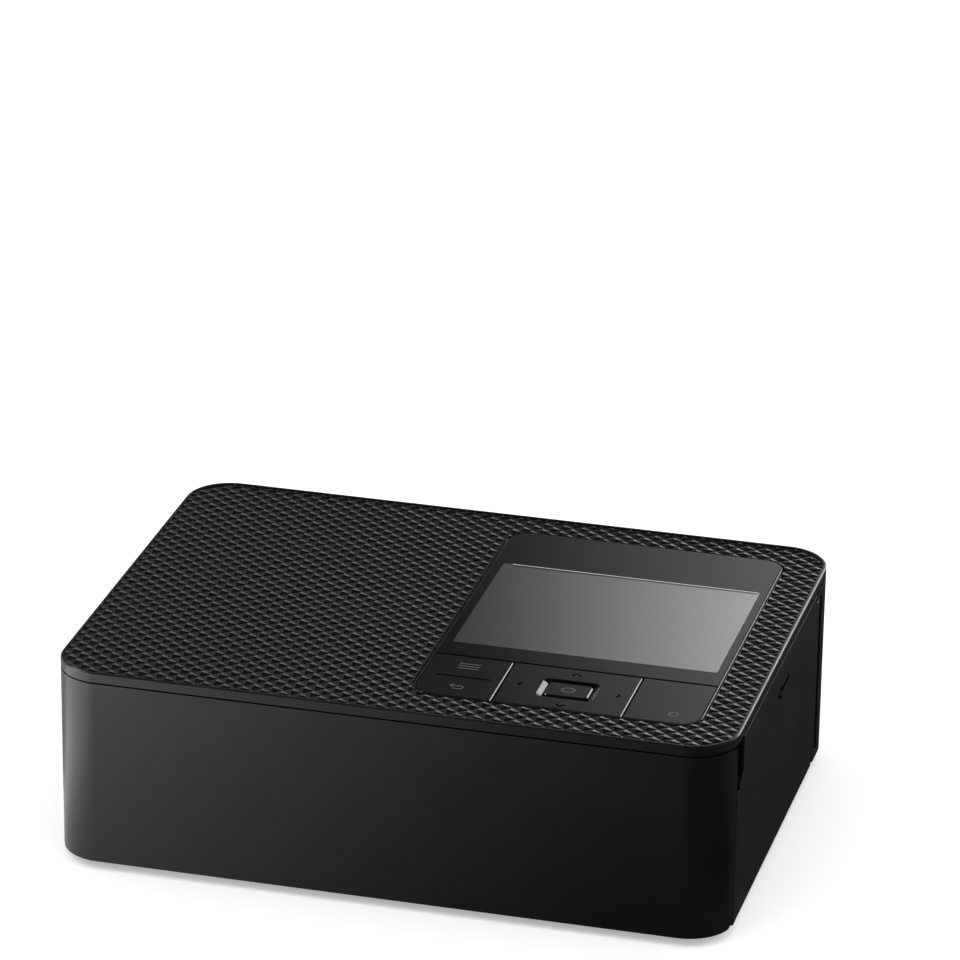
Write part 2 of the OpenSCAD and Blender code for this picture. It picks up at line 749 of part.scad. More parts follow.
module side_fascia() {
    color([0.06, 0.06, 0.065]) difference() {
        along_x(fascia_x, fascia_x + fascia_t) difference() {
            translate([door_y + 1, floor_z]) square([knuckle[1] - knuckle_r - 1 - door_y - 1, rim_z - 3.4 - floor_z]);
            cassette_outline(0.6);
            disc(platen, shaft_r + 1);
            disc(catch_pivot, catch_pin_r + running);
        }
        translate([bosses[1][0], bosses[1][1], 0]) cylinder(h = body_h, r = boss_r + 0.3);
    }
}

module chassis_outline() {
    translate([chassis_y0, floor_z]) square([chassis_y1 - chassis_y0, chassis_top - floor_z]);
}

module shaft_holes() {
    for (p = [platen, capstan, pickup]) disc(p, shaft_r + running);
    disc(pinch, 1.6 + running);
    // slot that guides the print head
    translate([head_y - head_pin_r - 0.1, head_pin_z - head_travel - head_pin_r - 0.2])
        square([2 * head_pin_r + 0.2, head_travel + 2 * head_pin_r + 0.5]);
}

module left_plate() {
    color([0.72, 0.73, 0.74]) along_x(left_x, left_x + steel_t) difference() {
        chassis_outline();
        shaft_holes();
        disc(takeup, shaft_r + running);
        disc(supply, shaft_r + running);
        translate([chassis_y0 + 6, floor_z + 4]) square([22, 5]);
        translate([supply[0] - 8, floor_z + 4]) square([14, 8]);
    }
}

module right_plate() {
    color([0.72, 0.73, 0.74]) along_x(right_x, right_x + steel_t) difference() {
        translate([chassis_y0, floor_z]) square([bosses[3][1] - boss_r - 0.4 - chassis_y0, chassis_top - floor_z]);
        shaft_holes();
        cassette_outline(0.3);
    }
}

module gear_bracket() {
    color([0.68, 0.69, 0.7]) {
        along_x(bracket_x, bracket_x + steel_t) difference() {
            translate([takeup[0] - 6, floor_z]) square([chassis_y1 - takeup[0] + 6, main_z - floor_z]);
            for (p = [feed_axis, ribbon_axis]) disc(p, 3);
            for (p = [capstan, takeup]) disc(p, shaft_r + running);
            translate([supply[0] - 22, floor_z + 5]) square([14, 9]);
        }
        // a flange under the main board, behind the sockets
        block([bracket_x - flange_w, bracket_x + 0.1], [flash_y + flash_w / 2 + 1, flash_y + flash_w / 2 + 1 + flange_l],
            [main_z - steel_t, main_z]);
        // spacers to the chassis plate
        for (p = [[supply[0] - 4, main_z - 5], [platen[0] + 4, floor_z + 5], [chassis_y1 - 4, main_z - 5]])
            bar([bracket_x + steel_t - 0.1, left_x], p, 2.2);
    }
}

module top_stay() {
    color([0.72, 0.73, 0.74]) {
        block([left_x, right_x + steel_t], [head_y - 11, head_y + 10], [stay_z, stay_z + steel_t]);
        // turned edges stiffen the stay
        for (y = [head_y - 11, head_y + 10 - steel_t])
            block([left_x + steel_t + 6, right_x - 6], [y, y + steel_t], [stay_z - 2.2, stay_z + 0.1]);
    }
}

module paper_tray() {
    color([0.09, 0.09, 0.095]) {
        block([tray_x0, tray_x1], [case_y + 0.8 + fascia_t, tray_y1], [floor_z, tray_z]);
        for (x = [tray_x0, tray_x1 - tray_wall])
            block([x, x + tray_wall], [case_y + 2.9, tray_y1], [tray_z - 0.1, tray_z + tray_h]);
        // runners that the cassette slides on
        for (x = [tray_x0 + 10, path_x - 1, tray_x1 - 12])
            block([x, x + 2], [case_y + 2, tray_y1 - 4], [tray_z - 0.1, tray_z + 0.6]);
    }
}

// The ramp leads the sheet up from the cassette to the platen
module paper_ramp() {
    top = path_z - 1.4;
    ramp_r = 11;
    color([0.09, 0.09, 0.095]) along_x(tray_x0, tray_x1) difference() {
        translate([tray_y1, floor_z]) square([platen[0] - platen_r - 0.6 - tray_y1, top - floor_z]);
        translate([tray_y1 - ramp_r + 2, top + 2]) circle(ramp_r);
    }
}

module head_spring() {
    w = 7;
    color([0.8, 0.8, 0.78]) for (x = about(path_x, 0.34 * paper_w))
        along_x(x - w / 2, x + w / 2)
            polygon([[head_y - 9, stay_z], [head_y - 9, stay_z - 0.5], [head_y - 5, stay_z - 0.5],
                [head_y, sink_top + 0.3], [head_y + 4, sink_top + 0.3], [head_y + 4, sink_top + 0.8],
                [head_y + 0.4, sink_top + 0.8], [head_y - 4.6, stay_z]]);
}

module heat_sink() {
    half = 8.4;
    fins = 5;
    pitch = (2 * half - 1.4) / (fins - 1);
    color([0.75, 0.76, 0.78]) {
        block([left_x + steel_t + 3, right_x - 3], about(head_y, half), [sink_z, sink_z + 8.4]);
        for (i = [0 : fins - 1])
            block([left_x + steel_t + 8, right_x - 8],
                [head_y - half + i * pitch, head_y - half + i * pitch + 1.4], [sink_z + 8.3, sink_top]);
    }
}

module thermal_head() {
    color([0.85, 0.82, 0.74]) {
        block([path_x - paper_w / 2 - 2, path_x + paper_w / 2 + 2], about(head_y, 6), [head_z + 1, sink_z]);
        intersection() {
            bar([path_x - paper_w / 2 - 1, path_x + paper_w / 2 + 1], [head_y, head_z + 3], 3);
            block([left_x, right_x], about(head_y, 3), [head_z - past, head_z + 1.1]);
        }
    }
}

module head_pins() {
    color([0.6, 0.6, 0.62]) {
        bar([left_x - 0.6, left_x + steel_t + 3], [head_y, head_pin_z], head_pin_r);
        bar([right_x - 3, right_x + steel_t + 0.6], [head_y, head_pin_z], head_pin_r);
    }
}

// ---------- rollers ----------

module platen_shaft() {
    color([0.65, 0.66, 0.68]) bar([left_x - 1.2, right_x + steel_t + 1.4], platen, shaft_r);
}

module platen_sleeve() {
    color([0.12, 0.12, 0.12]) difference() {
        bar([path_x - paper_w / 2 - 3, path_x + paper_w / 2 + 3], platen, platen_r);
        bar([left_x, right_x], platen, shaft_r);
    }
}

module capstan() {
    color([0.65, 0.66, 0.68]) {
        bar([bracket_x + 0.2, right_x + steel_t + 1], capstan, shaft_r);
        bar([path_x - paper_w / 2 - 3, path_x + paper_w / 2 + 3], capstan, capstan_r);
    }
}

module capstan_gear() {
    color([0.88, 0.88, 0.85])
        gear([gear_x, gear_x + gear_w], capstan, gear_teeth, capstan_phase, shaft_r);
}

module pinch_roller() {
    color([0.2, 0.2, 0.2]) {
        bar([left_x - 0.8, right_x + steel_t + 0.8], pinch, 1.6);
        for (i = [-1 : 1])
            bar(about(path_x + i * 34, 13), pinch, pinch_r);
    }
}

module pickup_shaft() {
    color([0.65, 0.66, 0.68]) bar([gear_x - 0.6, right_x + steel_t + 1], pickup, shaft_r);
}

module pickup_tyres() {
    color([0.15, 0.15, 0.15]) for (s = [-1, 1]) difference() {
        bar(about(path_x + s * 2 * pickup_r, 0.75 * pickup_r), pickup, pickup_r);
        bar([left_x, right_x], pickup, shaft_r);
    }
}

// Phases: a tooth of one gear faces a gap of the next
capstan_phase = feed_turn;
feed_phase = feed_turn + 180 + 180 / pinion_teeth;
takeup_phase = 0;
ribbon_phase = 180 + 180 / pinion_teeth;
to_pickup = 180 + pickup_drop;
pickup_phase = to_pickup + 180 + 180 / gear_teeth + (to_pickup - takeup_phase);

module pickup_gear() {
    color([0.88, 0.88, 0.85])
        gear([gear_x, gear_x + gear_w], pickup, gear_teeth, pickup_phase, shaft_r);
}

// A hub with three ribs turns the spool of the ribbon cassette
module spool_hub(p) {
    hub_r = 4;
    bar([left_x + steel_t + 0.3, left_x + steel_t + 8], p, hub_r);
    for (a = [0 : 120 : 240])
        translate([left_x + steel_t + 1.3, p[0], p[1]]) rotate([a, 0, 0])
            translate([0, -0.6, 0]) cube([5.5, 1.2, hub_r + 1.6]);
}

module takeup_hub() {
    color([0.85, 0.85, 0.8]) {
        spool_hub(takeup);
        bar([bracket_x + 0.2, left_x + steel_t + 0.4], takeup, shaft_r);
    }
}

module takeup_gear() {
    color([0.88, 0.88, 0.85])
        gear([gear_x, gear_x + gear_w], takeup, gear_teeth, takeup_phase, shaft_r);
}

module supply_hub() {
    color([0.85, 0.85, 0.8]) {
        spool_hub(supply);
        bar([left_x - 3, left_x + steel_t + 0.4], supply, shaft_r);
    }
}

module motor(p, r) {
    flat = 2 * r * 0.84;
    intersection() {
        bar([bracket_x - motor_l, bracket_x], p, r);
        block([bracket_x - motor_l - past, bracket_x], about(p[0], r + past), about(p[1], flat / 2));
    }
    bar([bracket_x - motor_l - 2, bracket_x - motor_l + 0.2], p, 3.4);
}

module feed_motor() {
    color([0.55, 0.56, 0.57]) motor(feed_axis, feed_motor_r);
}

module ribbon_motor() {
    color([0.55, 0.56, 0.57]) motor(ribbon_axis, ribbon_motor_r);
}

module pinion(p, phase) {
    gear([gear_x - 0.4, gear_x + gear_w + 0.4], p, pinion_teeth, phase, 0.6);
    bar([bracket_x + 0.1, gear_x + gear_w + 0.4], p, 1);
}

module feed_pinion() {
    color([0.8, 0.66, 0.35]) pinion(feed_axis, feed_phase);
}

module ribbon_pinion() {
    color([0.8, 0.66, 0.35]) pinion(ribbon_axis, ribbon_phase);
}

// ---------- fan and electronics ----------

module fan_frame() {
    x0 = -in_x;
    color([0.05, 0.05, 0.05]) {
        difference() {
            block([x0, x0 + fan_t], about(fan_mid[0], fan_size / 2), about(fan_mid[1], fan_size / 2));
            bar([x0 - past, x0 + fan_t + past], fan_mid, fan_size / 2 - 1);
        }
        // spider that carries the hub
        difference() {
            union() {
                bar([x0 + fan_t - 1.6, x0 + fan_t], fan_mid, 6);
                for (a = [0, 90])
                    translate([x0 + fan_t - 1.6, fan_mid[0], fan_mid[1]]) rotate([a + 45, 0, 0])
                        translate([0, -0.9, -fan_size / 2]) cube([1.6, 1.8, fan_size]);
            }
            bar([x0, x0 + fan_t + past], fan_mid, 1 + running);
        }
    }
}

module fan_rotor() {
    x0 = -in_x + 0.8;
    hub_r = 7;
    blade_r = fan_size / 2 - 1.8;
    color([0.08, 0.08, 0.08]) {
        bar([x0, x0 + fan_t - 2.9], fan_mid, hub_r);
        bar([x0, x0 + fan_t - 1.2], fan_mid, 1);
        for (i = [0 : 6])
            translate([x0 + (fan_t - 2.9) / 2, fan_mid[0], fan_mid[1]]) rotate([i * 360 / 7, 0, 0])
                translate([0, 0, hub_r - 0.6]) rotate([0, 0, 42])
                    translate([-0.4, -3.6, 0]) cube([0.8, 7.2, blade_r - hub_r]);
    }
}

module main_board() {
    color([0.05, 0.28, 0.14]) {
        block([main_x0, main_x1], [-half_d + main_front, half_d - main_rear], [main_z, main_z + main_t]);
        // chips: their place, width and length
        for (p = [[-6, 12, 12], [14, 9, 9], [32, 14, 10]])
            block([main_x0 + chip_x, main_x0 + chip_x + p[1]], [p[0], p[0] + p[2]],
                [main_z + main_t - 0.1, main_z + main_t + 1.2]);
    }
}

card_w = 27;
card_end = bracket_x - 3.5;
card_y = [-half_d + main_front + 2, -half_d + main_front + 2 + card_w];
card_z0 = main_z - 3;
usb_y = card_y[1] + 11;
usb_l = 8;
usb_z = main_z - 1.9;
flash_y = usb_y + 18;
flash_l = 14;
flash_w = 13.2;
flash_z = main_z - 3.3;
// The inlet stands between the rear left screw boss and the gear bracket
inlet_x0 = bosses[2][0] + boss_r;
inlet_x = inlet_x0 + (bracket_x - inlet_x0) * 84 / 201;
inlet_w = (bracket_x - inlet_x0) * 110 / 201;
inlet_l = 11;
inlet_z = main_z - 6;
inlet_r = 3.6;

module card_socket() {
    color([0.7, 0.71, 0.72]) difference() {
        block([-in_x, card_end], card_y, [card_z0 - 0.8, main_z]);
        block([-in_x - past, card_end - 2], [card_y[0] + 1.2, card_y[1] - 1.2], [card_z0 + 0.1, card_z0 + 2.5]);
    }
}

module usb_sockets() {
    color([0.7, 0.71, 0.72]) {
        difference() {
            block([-in_x, -in_x + usb_l], about(usb_y, 4.6), [usb_z - 1.8, main_z]);
            along_x(-in_x - past, -in_x + usb_l - 2) translate([usb_y, usb_z]) round_rect(8.4, 2.6, 1.25);
        }
        difference() {
            block([-in_x, -in_x + flash_l], about(flash_y, flash_w / 2), [flash_z - 2.9, main_z]);
            block([-in_x - past, -in_x + flash_l - 2], about(flash_y, flash_w / 2 - 0.6),
                [flash_z - 2.3, flash_z + 2.3]);
        }
    }
}

module power_inlet() {
    color([0.06, 0.06, 0.06]) difference() {
        union() {
            block(about(inlet_x, inlet_w / 2), [in_y - inlet_l, in_y], [inlet_z - inlet_w / 2, main_z + 1]);
            // the collar fills the hole in the wall
            translate([inlet_x, in_y - 1, inlet_z]) rotate([-90, 0, 0])
                cylinder(h = half_d - in_y + 0.8, r = inlet_r);
        }
        translate([inlet_x, in_y - inlet_l + 2, inlet_z]) rotate([-90, 0, 0])
            cylinder(h = inlet_l + wall, r = inlet_w / 4);
    }
}

// The catch hangs in front of the cassette's neck
catch_pivot = [platen[0], stay_z - 4.2];
catch_l = 17;
catch_pin_r = 1.2;
module ribbon_catch() {
    x0 = fascia_x + fascia_t + 0.2;
    color([0.25, 0.45, 0.75]) {
        along_x(x0, x0 + 1.2) {
            disc(catch_pivot, 3);
            translate([catch_pivot[0] - 2, catch_pivot[1] - catch_l]) square([4, catch_l]);
            disc([catch_pivot[0], catch_pivot[1] - catch_l], 3.2);
        }
        bar([fascia_x, x0 + 0.1], catch_pivot, catch_pin_r);
    }
}

module feet() {
    color([0.16, 0.16, 0.16]) for (x = [-1, 1], y = [-1, 1])
        translate([x * (half_w - 22), y * (half_d - 20), 0]) {
            cylinder(h = foot_h, r = 6);
        }
}

module case_screws() {
    color([0.6, 0.6, 0.6]) for (p = bosses) {
        translate([p[0], p[1], shell_z + 0.3]) cylinder(h = 1.5, r = 2.3);
        translate([p[0], p[1], shell_z + 1.7]) cylinder(h = boss_top + 2.5 - shell_z, r = screw_r);
    }
}

lower_case();
top_cover();
top_plate();
front_cover();
side_door();
side_hinge_rod();
panel_frame();
window_sheet();
display_module();
menu_key();
rocker_pad();
four_way_key();
ok_ring();
ok_key();
print_key();
key_board();
key_switches();
front_fascia();
side_fascia();
left_plate();
right_plate();
gear_bracket();
top_stay();
paper_tray();
paper_ramp();
head_spring();
heat_sink();
thermal_head();
head_pins();
platen_shaft();
platen_sleeve();
capstan();
capstan_gear();
pinch_roller();
pickup_shaft();
pickup_tyres();
pickup_gear();
takeup_hub();
takeup_gear();
supply_hub();
feed_motor();
feed_pinion();
ribbon_motor();
ribbon_pinion();
fan_frame();
fan_rotor();
main_board();
card_socket();
usb_sockets();
power_inlet();
ribbon_catch();
feet();
case_screws();
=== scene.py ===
"""Looks of a compact photo printer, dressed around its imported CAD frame.

The frame holds every form and every moving body. This script gives each piece its surface, models
what is too fine for the frame, such as the knurled top and the signs on the keys, and sets the
camera, the floor and the soft light.
"""
import logging
import math
from collections.abc import Callable, Iterable, Sequence
from dataclasses import dataclass
from enum import Enum

import bmesh
import bpy
from mathutils import Matrix, Vector


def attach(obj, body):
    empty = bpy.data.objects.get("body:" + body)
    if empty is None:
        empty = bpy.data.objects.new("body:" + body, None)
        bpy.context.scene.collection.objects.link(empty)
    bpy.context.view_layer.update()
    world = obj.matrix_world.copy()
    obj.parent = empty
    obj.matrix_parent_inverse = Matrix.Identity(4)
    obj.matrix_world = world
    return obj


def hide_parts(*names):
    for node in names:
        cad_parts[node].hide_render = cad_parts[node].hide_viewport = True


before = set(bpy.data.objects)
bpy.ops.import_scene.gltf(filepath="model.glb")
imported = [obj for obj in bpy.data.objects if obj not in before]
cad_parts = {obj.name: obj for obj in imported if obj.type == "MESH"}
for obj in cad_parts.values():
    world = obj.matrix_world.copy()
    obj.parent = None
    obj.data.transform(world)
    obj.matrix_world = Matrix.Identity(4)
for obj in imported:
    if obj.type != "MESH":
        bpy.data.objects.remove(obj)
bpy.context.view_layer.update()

LOG = logging.getLogger("printer")
MM = 0.001
# places that are closer than this, in metres, are one place
TOUCH = 1e-6
# edges that turn by more than this are rounded, as a mould rounds them
SHARP_DEG = 50.0
Point = tuple[float, float, float]
Pair = tuple[float, float]
Outline = Sequence[Pair]
Link = tuple[bpy.types.Node, str]


# ---------------------------------------------------------------- nodes and colours


def linear(code: str) -> tuple[float, float, float, float]:
    """Turns an sRGB hex value into a linear colour.

    Args:
        code: Six hex digits, with or without a leading hash.

    Returns:
        Linear red, green and blue, and an alpha of one.
    """
    digits = code.lstrip("#")
    parts = [int(digits[i:i + 2], 16) / 255 for i in (0, 2, 4)]
    red, green, blue = (c / 12.92 if c <= 0.04045 else ((c + 0.055) / 1.055) ** 2.4 for c in parts)
    return red, green, blue, 1.0


def add_node(tree: bpy.types.NodeTree, kind: str, inputs: dict | None = None, **settings) -> bpy.types.Node:
    """Adds a node with its settings and its links.

    Args:
        tree: The node tree that gets the node.
        kind: The node's type name in Blender.
        inputs: Values by socket, or a (node, output) pair where the socket is linked.
        settings: Properties of the node itself.

    Returns:
        The new node.
    """
    node = tree.nodes.new(kind)
    for name, value in settings.items():
        setattr(node, name, value)
    for socket, value in (inputs or {}).items():
        if isinstance(value, tuple) and len(value) == 2 and isinstance(value[0], bpy.types.Node):
            tree.links.new(value[0].outputs[value[1]], node.inputs[socket])
        else:
            node.inputs[socket].default_value = value
    return node


def new_tree(name: str) -> tuple[bpy.types.Material, bpy.types.NodeTree]:
    """Makes an empty node material.

    Args:
        name: The material's name.

    Returns:
        The material and its node tree, with no nodes in it.
    """
    material = bpy.data.materials.new(name)
    material.use_nodes = True
    material.node_tree.nodes.clear()
    return material, material.node_tree


# ---------------------------------------------------------------- finishes


# the slow change of tone over every piece: its size, and the noise values that it moves between
MOTTLE_MM = 18.0
MOTTLE_LOW, MOTTLE_HIGH = 0.3, 0.7


class Grain(Enum):
    """How the surface of a finish was made, which sets the pattern of its relief."""

    SPARK = "spark-eroded mould, fine even grain"
    POLISHED = "polished mould, a slow wave only"
    BRUSHED = "rolled or brushed along the piece"
    TURNED = "ground or turned round the long axis"
    LAMINATE = "woven glass under lacquer"


@dataclass(frozen=True)
class Finish:
    """A material by what it is made of and how its surface was made.

    The pattern is drawn from noise on object coordinates, at sizes in millimetres. Colour moves
    between two close tones, and roughness between two values, so that no face is quite even.
    """

    name: str
    tone: str
    second_tone: str
    rough: float
    rough_spread: float = 0.05
    grain: Grain = Grain.SPARK
    grain_mm: float = 0.5
    relief_mm: float = 0.01
    metallic: float = 0.0
    ior: float = 1.5
    specular: float = 0.5
    stretch: Point = (1.0, 1.0, 1.0)

    def material(self) -> bpy.types.Material:
        """Builds the material, or gives back the one that is already built.

        Returns:
            The Blender material of this finish.
        """
        known = bpy.data.materials.get(self.name)
        if known:
            return known
        material, tree = new_tree(self.name)
        coords = add_node(tree, "ShaderNodeTexCoord")
        laid = add_node(tree, "ShaderNodeMapping", {"Vector": (coords, "Object"), "Scale": self.stretch})
        fine = self._fine(tree, laid)
        broad = add_node(tree, "ShaderNodeTexNoise",
                         {"Vector": (coords, "Object"), "Scale": 1 / (MOTTLE_MM * MM), "Detail": 3.0})
        # the mix node has its colours at sockets 6 and 7, and its colour out at 2
        colour = add_node(tree, "ShaderNodeMix",
                          {"Factor": (broad, "Fac"), 6: linear(self.tone), 7: linear(self.second_tone)},
                          data_type="RGBA")
        rough = add_node(tree, "ShaderNodeMapRange",
                         {"Value": (broad, "Fac"), "From Min": MOTTLE_LOW, "From Max": MOTTLE_HIGH,
                          "To Min": self.rough - self.rough_spread,
                          "To Max": self.rough + self.rough_spread})
        bump = add_node(tree, "ShaderNodeBump",
                        {"Height": fine, "Distance": self.relief_mm * MM, "Strength": 1.0})
        gloss = {} if self.metallic else {"IOR": self.ior, "Specular IOR Level": self.specular}
        shader = add_node(tree, "ShaderNodeBsdfPrincipled",
                          {"Base Color": (colour, 2), "Roughness": (rough, "Result"),
                           "Normal": (bump, "Normal"), "Metallic": self.metallic, **gloss})
        add_node(tree, "ShaderNodeOutputMaterial", {"Surface": (shader, "BSDF")})
        return material

    def _fine(self, tree: bpy.types.NodeTree, laid: bpy.types.Node) -> Link:
        """Adds the fine pattern of the grain.

        Args:
            tree: The material's node tree.
            laid: The mapping node that turns and stretches the pattern.

        Returns:
            The pattern's node and the name of its height output.
        """
        scale = 1 / (self.grain_mm * MM)
        if self.grain is Grain.LAMINATE:
            wave = add_node(tree, "ShaderNodeTexBrick",
                            {"Vector": (laid, "Vector"), "Scale": scale, "Mortar Size": 0.12})
            return wave, "Fac"
        detail = {Grain.SPARK: 4.0, Grain.POLISHED: 1.0, Grain.BRUSHED: 6.0, Grain.TURNED: 5.0}[self.grain]
        noise = add_node(tree, "ShaderNodeTexNoise",
                         {"Vector": (laid, "Vector"), "Scale": scale, "Detail": detail, "Roughness": 0.6})
        return noise, "Fac"


# Mould grain, rolling lines and grinding rings are a few hundredths of a millimetre across. That is too
# fine to show from the camera, so each grain size below is drawn about ten times as coarse.

# ABS from a spark-eroded mould: deep black with a satin, slightly broken gloss.
CASE_ABS = Finish("satin_black_abs", "#070708", "#090909", 0.36, 0.03, Grain.SPARK, 0.35, 0.004)
# The same ABS from the knurled tool: the facets are smoother than the walls.
KNURL_ABS = Finish("knurled_black_abs", "#070708", "#09090a", 0.17, 0.03, Grain.SPARK, 0.5, 0.003)
# PMMA blend from a polished mould: piano black with a slow wave in the reflections.
PANEL_PMMA = Finish("polished_black_pmma", "#060607", "#08080a", 0.12, 0.02, Grain.POLISHED, 22, 0.004)
# The keys' tops are a little duller than the sheet beside them.
KEY_PMMA = Finish("half_gloss_black_key", "#070708", "#09090b", 0.2, 0.03, Grain.POLISHED, 9, 0.004)
# Switched-off liquid crystal display behind the clear sheet: grey, and brighter in reflections.
DISPLAY = Finish("dark_display_glass", "#1b1b1d", "#1e1e20", 0.12, 0.02, Grain.POLISHED, 30, 0.002,
                 ior=3.0, specular=1.0)
# Dark-plated plastic ring: mirror-like, and near black where the room is dark.
BRIGHT_RING = Finish("dark_plated_ring", "#38393b", "#3e3f41", 0.12, 0.03, Grain.TURNED, 0.4, 0.002,
                     metallic=1.0)
# Painted highlight: a thin pale line in place of the light that the rear edge of the display's frame catches
# under the sheet.
PAINTED_EDGE_HIGHLIGHT = Finish("painted_frame_edge_highlight", "#e2e3e5", "#ececee", 0.3, 0.05, Grain.BRUSHED, 0.4, 0.002)
# Painted shade: a dark strip for the shade that the display's frame casts on the display, just in front of
# that line.
PAINTED_DISPLAY_SHADE = Finish("painted_frame_shade", "#0e0e0f", "#111112", 0.14, 0.02, Grain.POLISHED, 30, 0.002,
                   ior=1.7, specular=1.0)
# Pad-printed ink: mid grey and matt against the gloss. The same grey also paints the highlight on the lit
# side of each groove in the four-way key.
INK_AND_GLINT = Finish("grey_ink_and_painted_glint", "#4f5053", "#58595c", 0.45, 0.05, Grain.SPARK, 0.3, 0.002)
# Painted shade: black strokes stand in for grooves in the plastic, which look black because no light comes
# back out of them.
GROOVE_SHADE = Finish("painted_groove_shade", "#020202", "#030303", 0.5, 0.05, Grain.SPARK, 0.3, 0.002, specular=0.0)
# Moulded silicone: dark grey with a soft, wide sheen.
SILICONE = Finish("silicone_rubber", "#2a2a2b", "#303031", 0.7, 0.08, Grain.SPARK, 0.4, 0.01)
# Ground rubber: matt black with fine rings round the roller.
ROLLER_RUBBER = Finish("ground_roller_rubber", "#161616", "#1d1d1d", 0.78, 0.08, Grain.TURNED, 0.3, 0.02,
                       stretch=(0.2, 1, 1))
# Moulded foot rubber: matt, without the rings.
FOOT_RUBBER = Finish("foot_rubber", "#151515", "#1b1b1b", 0.75, 0.08, Grain.SPARK, 0.35, 0.02)
# ABS for the inside, from a coarser mould: greyer and duller than the case.
INNER_ABS = Finish("moulded_inner_plastic", "#1d1d1f", "#242426", 0.5, 0.06, Grain.SPARK, 0.6, 0.012)
# Undyed acetal, moulded: milky white with a waxy gloss.
ACETAL = Finish("natural_acetal", "#dcdad0", "#e6e4dc", 0.38, 0.05, Grain.SPARK, 0.8, 0.006)
# Dyed plastic, moulded: the one blue piece, since a hand has to find it.
CATCH_BLUE = Finish("blue_catch_plastic", "#284a78", "#2f5588", 0.42, 0.05, Grain.SPARK, 0.5, 0.01)
# Nylon, moulded: pale and a little chalky.
SWITCH_NYLON = Finish("switch_nylon", "#b8b6ad", "#c4c2ba", 0.5, 0.05, Grain.SPARK, 0.4, 0.006)
# Solder mask over woven glass: dark green gloss with the weave's squares in it.
BOARD_GREEN = Finish("solder_mask_green", "#0d3b22", "#12492b", 0.32, 0.06, Grain.LAMINATE, 1.2, 0.008)
# Zinc-plated sheet: bright, with rolling lines along the sheet and cloudy spangle.
ZINC_SHEET = Finish("zinc_plated_sheet", "#a7abb0", "#c2c5c9", 0.32, 0.1, Grain.BRUSHED, 0.5, 0.004,
                    metallic=1.0, stretch=(1, 0.05, 1))
# Ground steel rod: bright, with fine rings round it.
GROUND_STEEL = Finish("ground_steel", "#9a9da1", "#b4b6ba", 0.24, 0.06, Grain.TURNED, 0.3, 0.003,
                      metallic=1.0, stretch=(1, 0.1, 0.1))
# Rolled spring steel: straw-tinted, with lines along the leaf.
SPRING_STEEL = Finish("spring_steel", "#8e8a80", "#a8a49a", 0.28, 0.06, Grain.BRUSHED, 0.4, 0.003,
                      metallic=1.0, stretch=(1, 0.05, 1))
# Extruded aluminium: pale, with the die's lines along the fins.
ALUMINIUM = Finish("extruded_aluminium", "#b7babd", "#c8cacc", 0.36, 0.08, Grain.BRUSHED, 0.4, 0.005,
                   metallic=1.0, stretch=(0.05, 1, 1))
# Deep-drawn steel can: darker, with lines along the draw.
MOTOR_STEEL = Finish("drawn_motor_can", "#6d7074", "#86898d", 0.34, 0.08, Grain.BRUSHED, 0.5, 0.004,
                     metallic=1.0, stretch=(0.05, 1, 1))
# Hobbed brass: yellow, with bright tooth flanks.
BRASS = Finish("hobbed_brass", "#b08a46", "#c69c52", 0.3, 0.06, Grain.TURNED, 0.3, 0.003, metallic=1.0)
# Alumina ceramic under glaze: cream white and glassy.
ALUMINA = Finish("glazed_alumina", "#c9c3b4", "#d6d1c4", 0.16, 0.04, Grain.POLISHED, 6, 0.002)

NODE_FINISH: dict[str, Finish] = {
    "lower_case": CASE_ABS, "top_cover": CASE_ABS, "top_plate": KNURL_ABS, "front_cover": CASE_ABS,
    "side_door": CASE_ABS, "side_hinge_rod": GROUND_STEEL, "panel_frame": PANEL_PMMA,
    "window_sheet": PANEL_PMMA, "display_module": DISPLAY, "menu_key": KEY_PMMA,
    "rocker_pad": SILICONE, "four_way_key": KEY_PMMA, "ok_ring": BRIGHT_RING, "ok_key": KEY_PMMA,
    "print_key": KEY_PMMA, "key_board": BOARD_GREEN, "key_switches": SWITCH_NYLON,
    "front_fascia": INNER_ABS, "side_fascia": INNER_ABS, "left_plate": ZINC_SHEET,
    "right_plate": ZINC_SHEET, "gear_bracket": ZINC_SHEET, "top_stay": ZINC_SHEET,
    "paper_tray": INNER_ABS, "paper_ramp": INNER_ABS, "head_spring": SPRING_STEEL,
    "heat_sink": ALUMINIUM, "thermal_head": ALUMINA, "head_pins": GROUND_STEEL,
    "platen_shaft": GROUND_STEEL, "platen_sleeve": ROLLER_RUBBER, "capstan": GROUND_STEEL,
    "capstan_gear": ACETAL, "pinch_roller": ROLLER_RUBBER, "pickup_shaft": GROUND_STEEL,
    "pickup_tyres": ROLLER_RUBBER, "pickup_gear": ACETAL, "takeup_hub": ACETAL, "takeup_gear": ACETAL,
    "supply_hub": ACETAL, "feed_motor": MOTOR_STEEL, "feed_pinion": BRASS, "ribbon_motor": MOTOR_STEEL,
    "ribbon_pinion": BRASS, "fan_frame": INNER_ABS, "fan_rotor": INNER_ABS, "main_board": BOARD_GREEN,
    "card_socket": ZINC_SHEET, "usb_sockets": ZINC_SHEET, "power_inlet": INNER_ABS,
    "ribbon_catch": CATCH_BLUE, "feet": FOOT_RUBBER, "case_screws": GROUND_STEEL,
}


# ---------------------------------------------------------------- modelling by operators


def deselect() -> None:
    """Leaves edit mode and deselects everything."""
    if bpy.context.object and bpy.context.object.mode != "OBJECT":
        bpy.ops.object.mode_set(mode="OBJECT")
    bpy.ops.object.select_all(action="DESELECT")


def solo(piece: bpy.types.Object) -> None:
    """Makes one object the active one, and the only one selected.

    Args:
        piece: The object to work on.
    """
    deselect()
    piece.select_set(True)
    bpy.context.view_layer.objects.active = piece


